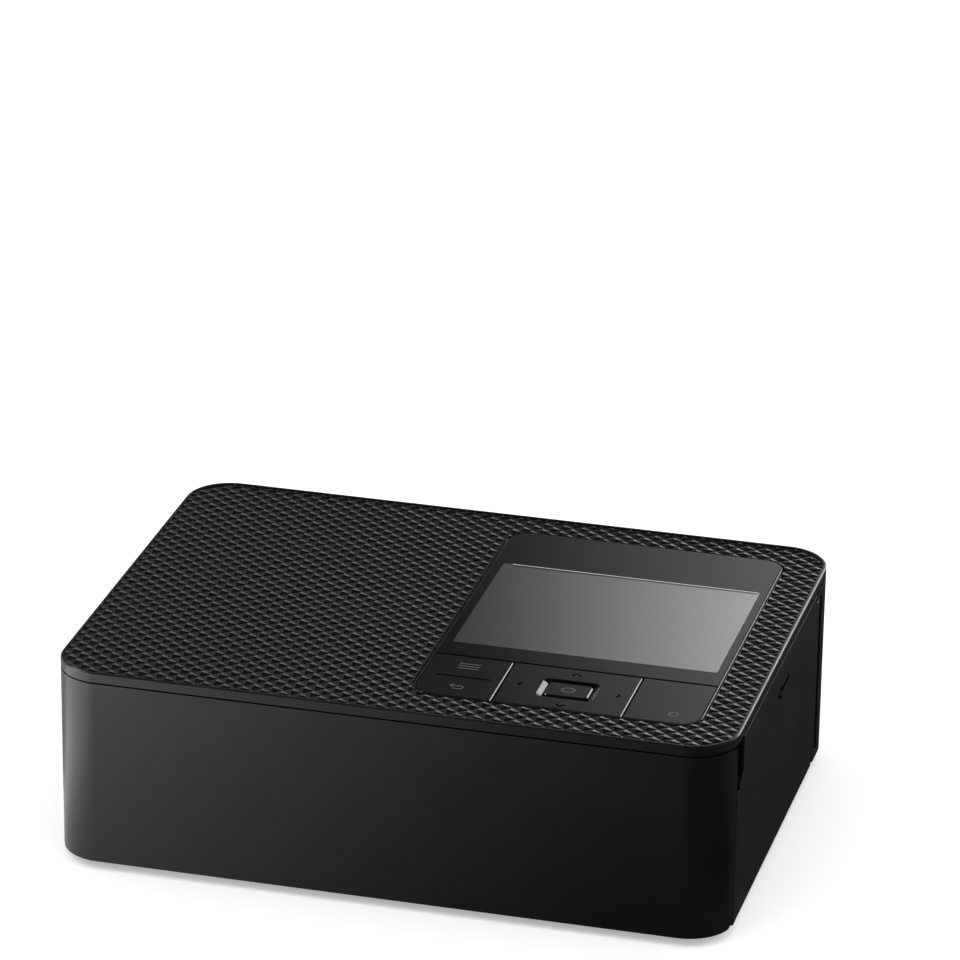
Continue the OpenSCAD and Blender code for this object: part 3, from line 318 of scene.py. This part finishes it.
def start(adder: Callable[..., set], name: str, **settings) -> bpy.types.Object:
    """Adds a primitive to start from, with nothing else selected.

    Args:
        adder: The operator that adds the primitive.
        name: The piece's name.
        settings: The operator's own settings.

    Returns:
        The new object.
    """
    deselect()
    adder(**settings)
    piece = bpy.context.object
    piece.name = name
    piece.data.name = name
    return piece


def link_object(name: str, data: bpy.types.ID) -> bpy.types.Object:
    """Puts a mesh, curve, light or camera into the scene as a new object.

    Args:
        name: The object's name.
        data: Its data.

    Returns:
        The new object.
    """
    item = bpy.data.objects.new(name, data)
    bpy.context.scene.collection.objects.link(item)
    return item


def modify(piece: bpy.types.Object, kind: str, **settings) -> None:
    """Adds a modifier and applies it.

    Args:
        piece: The object that it changes.
        kind: The modifier's type name.
        settings: Its settings.
    """
    solo(piece)
    modifier = piece.modifiers.new(kind.lower(), kind)
    for name, value in settings.items():
        setattr(modifier, name, value)
    bpy.ops.object.modifier_apply(modifier=modifier.name)


def pick_top(piece: bpy.types.Object) -> None:
    """Selects the faces that look straight up, in edit mode.

    Args:
        piece: The object, which is in edit mode afterwards.
    """
    solo(piece)
    bpy.ops.object.mode_set(mode="EDIT")
    bpy.ops.mesh.select_mode(type="FACE")
    bpy.ops.mesh.select_all(action="DESELECT")
    mesh = bmesh.from_edit_mesh(piece.data)
    for face in mesh.faces:
        face.select_set(face.normal.z > 1 - TOUCH)
    bmesh.update_edit_mesh(piece.data)


def bevel_edges(piece: bpy.types.Object, test: Callable[[Vector, Vector], bool], width: float,
                steps: int) -> None:
    """Bevels the edges that pass a test.

    Args:
        piece: The object.
        test: Says yes or no from an edge's two ends, in metres.
        width: Width of the bevel in millimetres.
        steps: Segments of the bevel.
    """
    solo(piece)
    bpy.ops.object.mode_set(mode="EDIT")
    bpy.ops.mesh.select_mode(type="EDGE")
    bpy.ops.mesh.select_all(action="DESELECT")
    mesh = bmesh.from_edit_mesh(piece.data)
    for edge in mesh.edges:
        edge.select_set(test(edge.verts[0].co, edge.verts[1].co))
    bmesh.update_edit_mesh(piece.data)
    bpy.ops.mesh.bevel(offset=width * MM, segments=steps, profile=0.5)
    bpy.ops.object.mode_set(mode="OBJECT")


def settle(piece: bpy.types.Object, smooth_deg: float = 35.0) -> bpy.types.Object:
    """Puts a finished piece's place into its mesh and smooths its round faces.

    Args:
        piece: The object.
        smooth_deg: Faces that meet at less than this angle are shaded as one.

    Returns:
        The same object.
    """
    solo(piece)
    bpy.ops.object.transform_apply(location=True, rotation=True, scale=True)
    bpy.ops.object.shade_smooth_by_angle(angle=math.radians(smooth_deg))
    modify(piece, "WEIGHTED_NORMAL", mode="FACE_AREA", weight=100, keep_sharp=True)
    return piece


def round_block(name: str, x: Sequence[float], y: Sequence[float], z: Sequence[float], radius: float,
                steps: int = 8) -> bpy.types.Object:
    """Makes a block from ranges in millimetres, with its upright edges rounded.

    Args:
        name: The piece's name.
        x: Its range in x.
        y: Its range in y.
        z: Its range in z.
        radius: Radius of the upright edges.
        steps: Segments of each rounding.

    Returns:
        The block, with its place in its mesh.
    """
    mid = [(r[0] + r[1]) / 2 * MM for r in (x, y, z)]
    span = [(r[1] - r[0]) * MM for r in (x, y, z)]
    block = start(bpy.ops.mesh.primitive_cube_add, name, size=1.0, location=mid)
    block.scale = span
    bpy.ops.object.transform_apply(location=True, rotation=True, scale=True)
    if radius:
        bevel_edges(block, lambda a, b: math.hypot(a.x - b.x, a.y - b.y) < TOUCH, radius, steps)
    return block


def strokes(name: str, lines: Iterable[Sequence[Point]], width: float, lift: float,
            normal: str = "Z") -> bpy.types.Object:
    """Draws a sign as flat, round-ended strokes that stand a hair proud of their surface.

    Args:
        name: The sign's name.
        lines: Each stroke's points, in millimetres.
        width: Width of a stroke in millimetres.
        lift: How far the strokes stand proud, in millimetres.
        normal: The axis that the surface faces.

    Returns:
        The sign as one mesh.
    """
    curve = bpy.data.curves.new(name, "CURVE")
    curve.dimensions = "3D"
    curve.bevel_depth = width / 2 * MM
    curve.bevel_resolution = 2
    curve.use_fill_caps = True
    origin = Vector(next(iter(lines))[0]) * MM
    for line in lines:
        spline = curve.splines.new("POLY")
        spline.points.add(len(line) - 1)
        for point, spot in zip(spline.points, line):
            point.co = (*(Vector(spot) * MM - origin), 1.0)
    solo(link_object(name, curve))
    bpy.ops.object.convert(target="MESH")
    sign = bpy.context.object
    flat = [1.0, 1.0, 1.0]
    flat["XYZ".index(normal)] = lift / (width / 2)
    sign.scale = flat
    sign.location = origin
    return settle(sign, 50)


def copy_node(node: str) -> bpy.types.Object:
    """Copies a CAD node's mesh and merges its loose triangles into whole faces.

    Args:
        node: The CAD node.

    Returns:
        The copy, which rides on nothing yet.
    """
    piece = link_object(f"{node}_moulded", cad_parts[node].data.copy())
    solo(piece)
    bpy.ops.object.mode_set(mode="EDIT")
    bpy.ops.mesh.select_all(action="SELECT")
    bpy.ops.mesh.remove_doubles(threshold=TOUCH)
    bpy.ops.mesh.dissolve_limited(angle_limit=math.radians(1.0))
    bpy.ops.mesh.customdata_custom_splitnormals_clear()
    bpy.ops.object.mode_set(mode="OBJECT")
    return piece


def round_edges(piece: bpy.types.Object, width: float) -> bpy.types.Object:
    """Rounds a piece's sharp edges as a mould does, and finishes it.

    Args:
        piece: The object.
        width: Width of the rounding in millimetres.

    Returns:
        The same object.
    """
    modify(piece, "BEVEL", width=width * MM, segments=2, limit_method="ANGLE",
           angle_limit=math.radians(SHARP_DEG), use_clamp_overlap=True, profile=0.5)
    return settle(piece)


def place(piece: bpy.types.Object, finish: Finish, body: str,
          stands_for: str | None = None) -> None:
    """Dresses a finished piece, hangs it on its body and reports it.

    Args:
        piece: The object.
        finish: Its finish.
        body: The CAD body that carries it.
        stands_for: The CAD node that it replaces, if any.
    """
    piece.data.materials.clear()
    piece.data.materials.append(finish.material())
    if stands_for:
        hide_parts(stands_for)
    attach(piece, body)
    LOG.info("%s rides on %s, %d faces, %s", piece.name, body, len(piece.data.polygons), finish.name)


def cut(piece: bpy.types.Object, cutter: bpy.types.Object, operation: str = "DIFFERENCE") -> None:
    """Cuts a piece with another object, which is used up.

    Args:
        piece: The object that is cut.
        cutter: The object that cuts it.
        operation: What is kept: the DIFFERENCE outside the cutter, or the INTERSECT inside it.
    """
    modify(piece, "BOOLEAN", operation=operation, object=cutter, solver="EXACT")
    bpy.data.objects.remove(cutter)


def off_outline(spot: Vector, middle: Vector, half: Vector, corner: float) -> float:
    """Measures how far a point lies outside a rounded rectangle, seen from above.

    Args:
        spot: The point.
        middle: The rectangle's middle.
        half: Half its width and depth.
        corner: Radius of its corners.

    Returns:
        The distance from its outline, below zero inside it.
    """
    past_x = abs(spot.x - middle.x) - half.x + corner
    past_y = abs(spot.y - middle.y) - half.y + corner
    return math.hypot(max(past_x, 0), max(past_y, 0)) + min(max(past_x, past_y), 0) - corner


# ---------------------------------------------------------------- the printer's sub-assemblies


@dataclass
class Case:
    """The moulded case: the shell, its covers, and the mark on the side door.

    Sizes are in millimetres, as in the other sub-assemblies: x and y from the printer's middle, and z
    from the floor.
    """

    # the rounding of the mouldings' edges
    edge_mm: float = 0.22
    # each moulding's CAD node, its body and its material slot
    mouldings: tuple[tuple[str, str, str], ...] = (
        ("lower_case", "printer", "case_plastic"), ("top_cover", "printer", "top_plastic"),
        ("front_cover", "front_cover", "case_plastic"), ("side_door", "side_door", "case_plastic"))
    # the arrow on the door's outer face: its middle, its length, its head and its stroke
    side_x: float = 91.1
    arrow_y: float = 1.0
    arrow_z: float = 46.0
    arrow_l: float = 14.0
    head_l: float = 3.6
    head_w: float = 3.8
    stroke: float = 1.1

    def build(self) -> None:
        """Rounds the edges of the mouldings and marks the side door."""
        for node, body, slot in self.mouldings:
            place(round_edges(copy_node(node), self.edge_mm), CASE_ABS, body, node)
        self.mark()

    def mark(self) -> None:
        """Draws the arrow that shows where the side door opens."""
        x, z = self.side_x, self.arrow_z
        tip, tail = self.arrow_y - self.arrow_l / 2, self.arrow_y + self.arrow_l / 2
        neck, wing = tip + self.head_l, self.head_w / 2
        lines = [[(x, tip, z), (x, neck, z + wing), (x, neck, z - wing), (x, tip, z)],
                 [(x, neck, z), (x, tail, z)]]
        # painted shade: the arrow's groove is drawn as black strokes a hair proud of the door
        arrow = strokes("door_arrow", lines, self.stroke, 0.03, "X")
        place(arrow, GROOVE_SHADE, "side_door")


@dataclass
class KnurledTop:
    """The patterned plate in the top: staggered four-sided points, cut off clean at its edges."""

    # the plate's half width and depth, and its corners
    half_w: float = 90.1
    half_d: float = 65.5
    corner: float = 11.5
    # the plate's underside, the bottom of the valleys and the tips of the points
    floor_z: float = 56.4
    valley_z: float = 57.18
    tip_z: float = 57.6
    # a point's foot, from corner to corner
    diamond_x: float = 5.19
    diamond_y: float = 4.28
    # the operation panel, and how far off it the points end
    panel_x: Pair = (2.9, 80.0)
    panel_y: Pair = (-54.1, 55.7)
    panel_corner: float = 6.0
    panel_gap: float = 0.4
    # how far a cutter stands past the plate, above and below
    past: float = 0.8

    def build(self) -> None:
        """Cuts a field of points to the plate's outline and to the panel's."""
        plate = self.points()
        through = (self.floor_z - self.past, self.tip_z + self.past)
        outline = round_block("outline", (-self.half_w, self.half_w), (-self.half_d, self.half_d),
                              through, self.corner, 16)
        hole_x, hole_y = ((low - self.panel_gap, high + self.panel_gap)
                          for low, high in (self.panel_x, self.panel_y))
        hole = round_block("hole", hole_x, hole_y, through, self.panel_corner + self.panel_gap, 12)
        cut(plate, outline, "INTERSECT")
        cut(plate, hole)
        place(settle(plate, 12), KNURL_ABS, "printer", "top_plate")

    def points(self) -> bpy.types.Object:
        """Pokes a grid of diamonds into points, over more than the whole plate.

        Returns:
            The field of points on its slab.
        """
        cells = 2 * math.ceil(self.half_w / self.diamond_x + self.half_d / self.diamond_y) + 2
        side = MM / math.sqrt(2)
        plate = start(bpy.ops.mesh.primitive_grid_add, "knurled_plate", x_subdivisions=cells,
                      y_subdivisions=cells, size=cells * side, location=(0, 0, 0))
        bpy.ops.object.mode_set(mode="EDIT")
        bpy.ops.mesh.select_all(action="SELECT")
        bpy.ops.transform.rotate(value=math.pi / 4, orient_axis="Z", center_override=(0, 0, 0))
        bpy.ops.transform.resize(value=(self.diamond_x, self.diamond_y, 1), center_override=(0, 0, 0))
        bpy.ops.transform.translate(value=(0, 0, self.floor_z * MM))
        bpy.ops.mesh.extrude_region_move(
            TRANSFORM_OT_translate={"value": (0, 0, (self.valley_z - self.floor_z) * MM)})
        bpy.ops.mesh.poke(offset=(self.tip_z - self.valley_z) * MM, use_relative_offset=False,
                          center_mode="MEDIAN")
        bpy.ops.mesh.select_all(action="SELECT")
        bpy.ops.mesh.normals_make_consistent(inside=False)
        bpy.ops.object.mode_set(mode="OBJECT")
        return plate


@dataclass
class Panel:
    """The operation panel: sheet, display, keys and their signs."""

    # heights of the sheet, of the keys and of the centre key
    top: float = 57.5
    key_top: float = 57.4
    ok_top: float = 57.3
    # the rounding of fine edges, the frame's rounder rim, and the frame's corners
    edge_mm: float = 0.05
    rim_mm: float = 0.22
    corner: float = 5.85
    # the open seam between the sheet and the keys
    seam_x: Pair = (3.5, 79.4)
    seam_y: Pair = (-28.88, -28.32)
    seam_z: Pair = (57.0, 58.0)
    display_x: Pair = (6.0, 77.3)
    display_y: Pair = (-20.5, 33.0)
    display_floor: float = 57.0
    # the strip of painted shade along the display's rear edge, and the painted highlight line behind it
    strip_x: Pair = (8.5, 76.9)
    strip_floor: float = 57.3
    shade_strip_w: float = 1.1
    highlight_w: float = 0.2
    # the four-way key's middle, and the chamfer on the right edge of a key
    four_way: Pair = (42.55, -41.35)
    chamfer: float = 0.2
    # the funnel round the centre key: its outside, its slopes and the hole for the key
    ring_half: Pair = (7.6, 5.7)
    ring_z: Pair = (56.25, 57.38)
    ring_corner: float = 2.0
    slope_in: float = 1.3
    slope_down: float = 0.7
    core_half: Pair = (6.25, 4.35)
    core_corner: float = 0.66
    # strokes of the signs: ink, the painted shade in the grooves, and the painted highlight on a groove's
    # left side
    ink_w: float = 0.42
    groove_w: float = 0.8
    glint_w: float = 0.16
    glint_shift: Pair = (-0.4, -0.2)
    # each groove in the four-way key: where its tip lies from the key's middle, and its stroke from there
    grooves: tuple[tuple[str, Pair, Outline], ...] = (
        ("sign_up", (0.0, 9.75), ((-1.2, -1.0), (0, 0), (1.2, -1.0))),
        ("sign_down", (0.0, -10.35), ((-1.2, 1.0), (0, 0), (1.2, 1.0))),
        ("sign_left", (-13.65, 0.0), ((0.9, 1.0), (0, 0), (0.9, -1.0))),
        ("sign_right", (13.75, 0.0), ((-0.9, 1.0), (0, 0), (-0.9, -1.0))))
    # the inked signs: three bars, a line that turns back, a ring and a sheet
    list_spot: Pair = (11.4, -34.6)
    bar_l: float = 5.6
    bar_step: float = 1.4
    back_spot: Pair = (12.4, -47.0)
    ring_r: Pair = (1.7, 1.25)
    print_spot: Pair = (71.0, -49.2)
    print_size: Pair = (2.2, 2.0)
    # each key's CAD node and its body
    keys: tuple[tuple[str, str], ...] = (("menu_key", "menu_key"), ("four_way_key", "four_way_key"),
                                         ("print_key", "print_key"), ("ok_key", "ok_key"))

    def build(self) -> None:
        """Builds the panel from its frame up to its signs."""
        self.rim()
        sheet = round_edges(copy_node("window_sheet"), self.edge_mm)
        place(sheet, PANEL_PMMA, "printer", "window_sheet")
        for node, body in self.keys:
            self.key(node, body)
        self.bezel()
        self.display()
        self.signs()

    def rim(self) -> None:
        """Copies the panel's frame, with a rim that catches the light and an open seam over the keys."""
        piece = copy_node("panel_frame")
        xs, ys = ([corner.co[axis] for corner in piece.data.vertices] for axis in (0, 1))
        middle = Vector((min(xs) + max(xs), min(ys) + max(ys))) / 2
        half = Vector((max(xs) - min(xs), max(ys) - min(ys))) / 2
        # the arcs at the corners are chords, so an edge counts if it lies this close to the outline
        low, near = self.key_top * MM - TOUCH, 0.03 * MM
        bevel_edges(piece, lambda a, b: min(a.z, b.z) > low and
                    all(abs(off_outline(end, middle, half, self.corner * MM)) < near for end in (a, b)),
                    self.rim_mm, 4)
        cut(piece, round_block("slot", self.seam_x, self.seam_y, self.seam_z, 0))
        place(round_edges(piece, self.edge_mm), PANEL_PMMA, "printer", "panel_frame")

    def key(self, node: str, body: str) -> None:
        """Copies a key; the menu and four-way keys get a broad chamfer on their right edge, which catches
        the light.

        Args:
            node: The key's CAD node.
            body: Its body.
        """
        cap = copy_node(node)
        if node in ("menu_key", "four_way_key"):
            right, high = (max(corner.co[axis] for corner in cap.data.vertices) - TOUCH for axis in (0, 2))
            bevel_edges(cap, lambda a, b: min(a.x, b.x) > right and min(a.z, b.z) > high, self.chamfer, 1)
        place(round_edges(cap, self.edge_mm), KEY_PMMA, body, node)

    def bezel(self) -> None:
        """Builds the funnel round the centre key: its slopes run down to the key."""
        outer, inner = ([(mid - half, mid + half) for mid, half in zip(self.four_way, halves)]
                        for halves in (self.ring_half, self.core_half))
        ring = round_block("centre_bezel", *outer, self.ring_z, self.ring_corner)
        pick_top(ring)
        bpy.ops.mesh.inset(thickness=self.slope_in * MM, depth=-self.slope_down * MM)
        bpy.ops.object.mode_set(mode="OBJECT")
        through = (self.ring_z[0] - 0.5, self.ring_z[1] + 0.5)
        cut(ring, round_block("core", *inner, through, self.core_corner))
        place(settle(ring, 25), BRIGHT_RING, "four_way_key", "ok_ring")

    def display(self) -> None:
        """Lays the display's window into the sheet, with a painted highlight line for its frame's edge and a
        strip of painted shade in front of it.
        """
        # each layer stands a hair higher than the one below it
        glass_z, shade_strip_z, highlight_z = (self.top + lift for lift in (0.02, 0.03, 0.045))
        glass = round_block("display_window", self.display_x, self.display_y,
                            (self.display_floor, glass_z), 0.5, 4)
        high = glass_z * MM - TOUCH
        bevel_edges(glass, lambda a, b: min(a.z, b.z) > high, self.edge_mm, 2)
        place(settle(glass), DISPLAY, "printer")
        back = self.display_y[1]
        # painted shade: a dark strip where the display's frame shades the display, just in front of its edge
        shade_strip_y = (back - self.highlight_w - self.shade_strip_w, back - self.highlight_w)
        shade_strip = round_block("display_shade_strip", self.strip_x, shade_strip_y, (self.strip_floor, shade_strip_z), 0.1, 2)
        place(settle(shade_strip), PAINTED_DISPLAY_SHADE, "printer")
        # the painted highlight line laps a little over the painted shade strip
        highlight_y = (shade_strip_y[1] - 0.04, back)
        line = round_block("display_highlight_line", self.strip_x, highlight_y, (self.strip_floor, highlight_z), 0.1, 2)
        place(settle(line), PAINTED_EDGE_HIGHLIGHT, "printer")

    def signs(self) -> None:
        """Draws the signs on the keys, each on the key that carries it."""
        x, y = self.four_way
        for name, (across, along), line in self.grooves:
            self.shaded_groove(name, (x + across, y + along), line)
        bars = [[(0, level), (self.bar_l, level)] for level in (-self.bar_step, 0.0, self.bar_step)]
        self.sign("sign_list", self.list_spot, bars, "menu_key")
        hook = [(0, 0), (2.9, 0), (3.5, -0.4), (3.5, -1.3), (2.9, -1.7), (1.0, -1.7)]
        self.sign("sign_back", self.back_spot, [hook, [(0.9, 0.9), (0, 0), (0.9, -0.9)]], "menu_key")
        turns = [math.tau * step / 24 for step in range(25)]
        ring = [(self.ring_r[0] * math.cos(turn), self.ring_r[1] * math.sin(turn)) for turn in turns]
        self.sign("sign_centre", (x, y), [ring], "ok_key", self.ok_top)
        wide, deep = self.print_size
        sheet = [(0, 0), (wide, 0), (wide, deep), (0, deep), (0, 0)]
        self.sign("sign_print", self.print_spot, [sheet], "print_key")

    def shaded_groove(self, name: str, spot: Pair, line: Outline) -> None:
        """Draws a groove in the four-way key: a black stroke of painted shade, and a grey stroke of painted
        highlight for its left side, which catches the light.

        Args:
            name: The sign's name.
            spot: Where the sign's own zero lies.
            line: Its stroke, from that zero.
        """
        groove, glint = ([(spot[0] + x + shift_x, spot[1] + y + shift_y, self.key_top) for x, y in line]
                         for shift_x, shift_y in ((0, 0), self.glint_shift))
        # painted shade for the groove, then a painted highlight for its lit side
        place(strokes(name, [groove], self.groove_w, 0.02), GROOVE_SHADE, "four_way_key")
        place(strokes(f"{name}_light", [glint], self.glint_w, 0.015), INK_AND_GLINT, "four_way_key")

    def sign(self, name: str, spot: Pair, lines: Sequence[Outline], body: str,
             height: float | None = None) -> None:
        """Draws one sign in grey ink.

        Args:
            name: The sign's name.
            spot: Where the sign's own zero lies.
            lines: Its strokes, from that zero.
            body: The key that carries it.
            height: The key's top, where it isn't the usual one.
        """
        level = height or self.key_top
        drawn = [[(spot[0] + x, spot[1] + y, level) for x, y in line] for line in lines]
        place(strokes(name, drawn, self.ink_w, 0.02), INK_AND_GLINT, body)


# ---------------------------------------------------------------- studio


@dataclass(frozen=True)
class Card:
    """A flat card beside the printer, seen in its gloss alone, as a photographer sets them.

    Its light runs from one value to the other between two places along its width, in metres from
    its middle, and curves as the given power.
    """

    name: str
    centre: Point
    width: float
    height: float
    turn_deg: Point
    light: Pair
    between: Pair = (0.0, 1.0)
    power: float = 1.0

    def build(self) -> None:
        """Sets the card up at its turn, and keeps it out of all but reflections."""
        card = start(bpy.ops.mesh.primitive_grid_add, self.name, x_subdivisions=4, y_subdivisions=4,
                     size=1.0, location=self.centre, rotation=[math.radians(a) for a in self.turn_deg])
        card.scale = (self.width, self.height, 1)
        ends = [spot / self.width for spot in self.between]
        material, tree = new_tree(self.name)
        coords = add_node(tree, "ShaderNodeTexCoord")
        axis = add_node(tree, "ShaderNodeSeparateXYZ", {"Vector": (coords, "Object")})
        share = add_node(tree, "ShaderNodeMapRange",
                         {"Value": (axis, "X"), "From Min": ends[0], "From Max": ends[1]})
        curve = add_node(tree, "ShaderNodeMath", {0: (share, "Result"), 1: self.power}, operation="POWER")
        level = add_node(tree, "ShaderNodeMapRange",
                         {"Value": (curve, "Value"), "To Min": self.light[0], "To Max": self.light[1]})
        glow = add_node(tree, "ShaderNodeEmission", {"Strength": (level, "Result")})
        add_node(tree, "ShaderNodeOutputMaterial", {"Surface": (glow, "Emission")})
        card.data.materials.append(material)
        for ray in ("camera", "diffuse", "transmission", "volume_scatter", "shadow"):
            setattr(card, f"visible_{ray}", False)


@dataclass
class Studio:
    """Floor, light and camera."""

    # the camera as solved from the photograph, in millimetres of lens, degrees, metres and pixels
    lens: float = 205.49
    azimuth: float = 14.769
    elevation: float = 25.108
    roll: float = 0.663
    distance: float = 1.4782
    target: Point = (0.0, 0.0, 0.0288)
    principal: Pair = (450.05, 705.13)
    image: float = 960.0
    # the light from all round, and what of it the gloss sees
    room: float = 0.8
    tent: float = 0.048
    # the floor lies a hair below the feet, and glows a little for the camera and in the gloss
    floor_z: float = -0.00002
    floor_lift: float = 0.35
    # each lamp's name, its place and the side of its face in metres, and its watts
    lamps: tuple[tuple[str, Point, float, float], ...] = (
        ("key_softbox", (-0.9, -0.9, 1.3), 1.1, 6.0), ("fill_softbox", (1.1, -0.6, 1.2), 1.0, 3.0),
        ("back_softbox", (0.3, 1.3, 1.1), 1.0, 3.0))
    cards: tuple[Card, ...] = (
        # on the floor in front: bright on the left, falling off to the right
        Card("floor_front", (-0.44, -0.515, 0.0006), 1.11, 0.97, (0, 0, 0), (0.05, 3.4), (0.52, 0.19), 2.0),
        # the right front corner sees a dark place on the right
        Card("floor_dark", (0.34, -0.39, 0.0006), 0.45, 0.72, (0, 0, 0), (0.0, 0.0)),
        # beside the left corner, where it is brightest
        Card("floor_left", (-0.165, -0.4, 0.0012), 0.1, 0.74, (0, 0, 0), (1.3, 2.6), (0.05, 0.02)),
        # on the floor behind, dimmer
        Card("floor_back", (-0.355, 0.325, 0.0006), 1.3, 0.71, (0, 0, 0), (0.035, 1.0), (0.435, 0.105),
             2.0),
        # behind, low down: the points of the knurl see it, dark to the left
        Card("back_low", (0.1, 0.7, 0.125), 1.6, 0.25, (90, 0, 0), (0.5, 1.3), (-0.3, -0.1), 1.5),
        # behind, higher up: the panel sees it, with a steeper fall to the left
        Card("back_high", (0.1, 0.7, 0.385), 1.6, 0.27, (90, 0, 0), (0.05, 1.2), (-0.3, -0.1), 1.6),
        # above it on the left: the facets that face left see it
        Card("upper_card", (0.0, 0.7, 0.84), 1.6, 0.6, (90, 0, 0), (0.05, 0.35), (-0.2, -0.45)),
        # a bright window behind on the right, which the edges facing right see
        Card("edge_window", (0.4, 0.69, 0.3), 0.42, 0.4, (90, 0, 0), (5.5, 5.5)),
        # a window high up on the left, which the round corners in front on the left see
        Card("corner_window", (-1.05, -0.15, 1.05), 0.5, 0.5, (90, 0, 90), (10.0, 10.0)),
        # pale walls on the other three sides, for the sides that the photograph doesn't show
        Card("left_wall", (-1.1, -0.2, 0.4), 1.8, 0.8, (90, 0, 90), (0.9, 0.9)),
        Card("right_wall", (1.1, -0.2, 0.4), 1.8, 0.8, (90, 0, 90), (0.9, 0.9)),
        Card("front_wall", (0.0, -1.1, 0.45), 2.2, 0.7, (90, 0, 0), (0.5, 0.5)),
    )

    def build(self) -> None:
        """Sets the floor, the world, the lamps, the cards and the camera."""
        self.floor()
        self.world()
        for lamp in self.lamps:
            self.lamp(*lamp)
        for card in self.cards:
            card.build()
        self.camera()

    def floor(self) -> None:
        """Lays a plain pale floor."""
        floor = start(bpy.ops.mesh.primitive_circle_add, "floor", vertices=96, radius=6.0,
                      fill_type="NGON", location=(0, 0, self.floor_z))
        material, tree = new_tree("pale_floor")
        coords = add_node(tree, "ShaderNodeTexCoord")
        mottle = add_node(tree, "ShaderNodeTexNoise", {"Vector": (coords, "Object"), "Scale": 1 / (25 * MM)})
        tone = add_node(tree, "ShaderNodeMapRange",
                        {"Value": (mottle, "Fac"), "To Min": 0.93, "To Max": 0.95})
        matte = add_node(tree, "ShaderNodeBsdfDiffuse", {"Color": (tone, "Result")})
        paths = add_node(tree, "ShaderNodeLightPath")
        seen = add_node(tree, "ShaderNodeMath", {0: (paths, "Is Camera Ray"), 1: (paths, "Is Glossy Ray")})
        seen = add_node(tree, "ShaderNodeMath", {0: (seen, "Value"), 1: (paths, "Is Transmission Ray")})
        lift = add_node(tree, "ShaderNodeMath", {0: (seen, "Value"), 1: self.floor_lift},
                        operation="MULTIPLY")
        glow = add_node(tree, "ShaderNodeEmission", {"Strength": (lift, "Value")})
        both = add_node(tree, "ShaderNodeAddShader", {0: (matte, "BSDF"), 1: (glow, "Emission")})
        add_node(tree, "ShaderNodeOutputMaterial", {"Surface": (both, "Shader")})
        floor.data.materials.append(material)

    def world(self) -> None:
        """Surrounds the scene with plain light before white, and with a dark tent in the gloss."""
        world = bpy.data.worlds.new("pale_room")
        world.use_nodes = True
        tree = world.node_tree
        tree.nodes.clear()
        paths = add_node(tree, "ShaderNodeLightPath")
        level = add_node(tree, "ShaderNodeMapRange", {"Value": (paths, "Is Glossy Ray"),
                                                      "To Min": self.room, "To Max": self.tent})
        seen = add_node(tree, "ShaderNodeMath", {0: (level, "Result"), 1: (paths, "Is Camera Ray")},
                        operation="MAXIMUM")
        seen = add_node(tree, "ShaderNodeMath", {0: (seen, "Value"), 1: (paths, "Is Transmission Ray")},
                        operation="MAXIMUM")
        light = add_node(tree, "ShaderNodeBackground",
                         {"Color": linear("#ffffff"), "Strength": (seen, "Value")})
        add_node(tree, "ShaderNodeOutputWorld", {"Surface": (light, "Background")})
        bpy.context.scene.world = world

    def lamp(self, name: str, spot: Point, size: float, watts: float) -> None:
        """Hangs a soft area lamp that points at the printer.

        Args:
            name: The lamp's name.
            spot: Where it hangs, in metres.
            size: Side of its square face, in metres.
            watts: Its power.
        """
        data = bpy.data.lights.new(name, "AREA")
        data.size = size
        data.energy = watts
        lamp = link_object(name, data)
        aim = (Vector(self.target) - Vector(spot)).to_track_quat("-Z", "Y")
        lamp.matrix_world = Matrix.Translation(spot) @ aim.to_matrix().to_4x4()
        lamp.visible_camera = False
        lamp.visible_glossy = False

    def camera(self) -> None:
        """Stands the camera at the photograph's angle."""
        turn, rise, tilt = (math.radians(v) for v in (self.azimuth, self.elevation, self.roll))
        back = Vector((math.sin(turn) * math.cos(rise), -math.cos(turn) * math.cos(rise), math.sin(rise)))
        right = Vector((math.cos(turn), math.sin(turn), 0.0))
        up = back.cross(right)
        across = math.cos(tilt) * right + math.sin(tilt) * up
        upright = -math.sin(tilt) * right + math.cos(tilt) * up
        data = bpy.data.cameras.new("photo_camera")
        data.lens = self.lens
        data.sensor_width = 36.0
        data.shift_x = (self.image / 2 - self.principal[0]) / self.image
        data.shift_y = (self.principal[1] - self.image / 2) / self.image
        data.dof.use_dof = False
        data.clip_start = 0.01
        data.clip_end = 50.0
        camera = link_object("photo_camera", data)
        axes = Matrix((across, upright, back)).transposed().to_4x4()
        camera.matrix_world = Matrix.Translation(Vector(self.target) + back * self.distance) @ axes
        bpy.context.scene.camera = camera


def dress_nodes() -> None:
    """Gives every CAD node the finish that its material has."""
    for name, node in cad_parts.items():
        node.data.materials.clear()
        node.data.materials.append(NODE_FINISH[name].material())
        LOG.info("%s is finished in %s", name, NODE_FINISH[name].name)


def main() -> None:
    """Builds the printer's looks in order and reports each piece."""
    logging.basicConfig(level=logging.INFO, format="%(name)s: %(message)s")
    bpy.context.scene.view_settings.view_transform = "Standard"
    dress_nodes()
    for assembly in (Case(), KnurledTop(), Panel()):
        assembly.build()
    Studio().build()


if __name__ == "__main__":
    main()
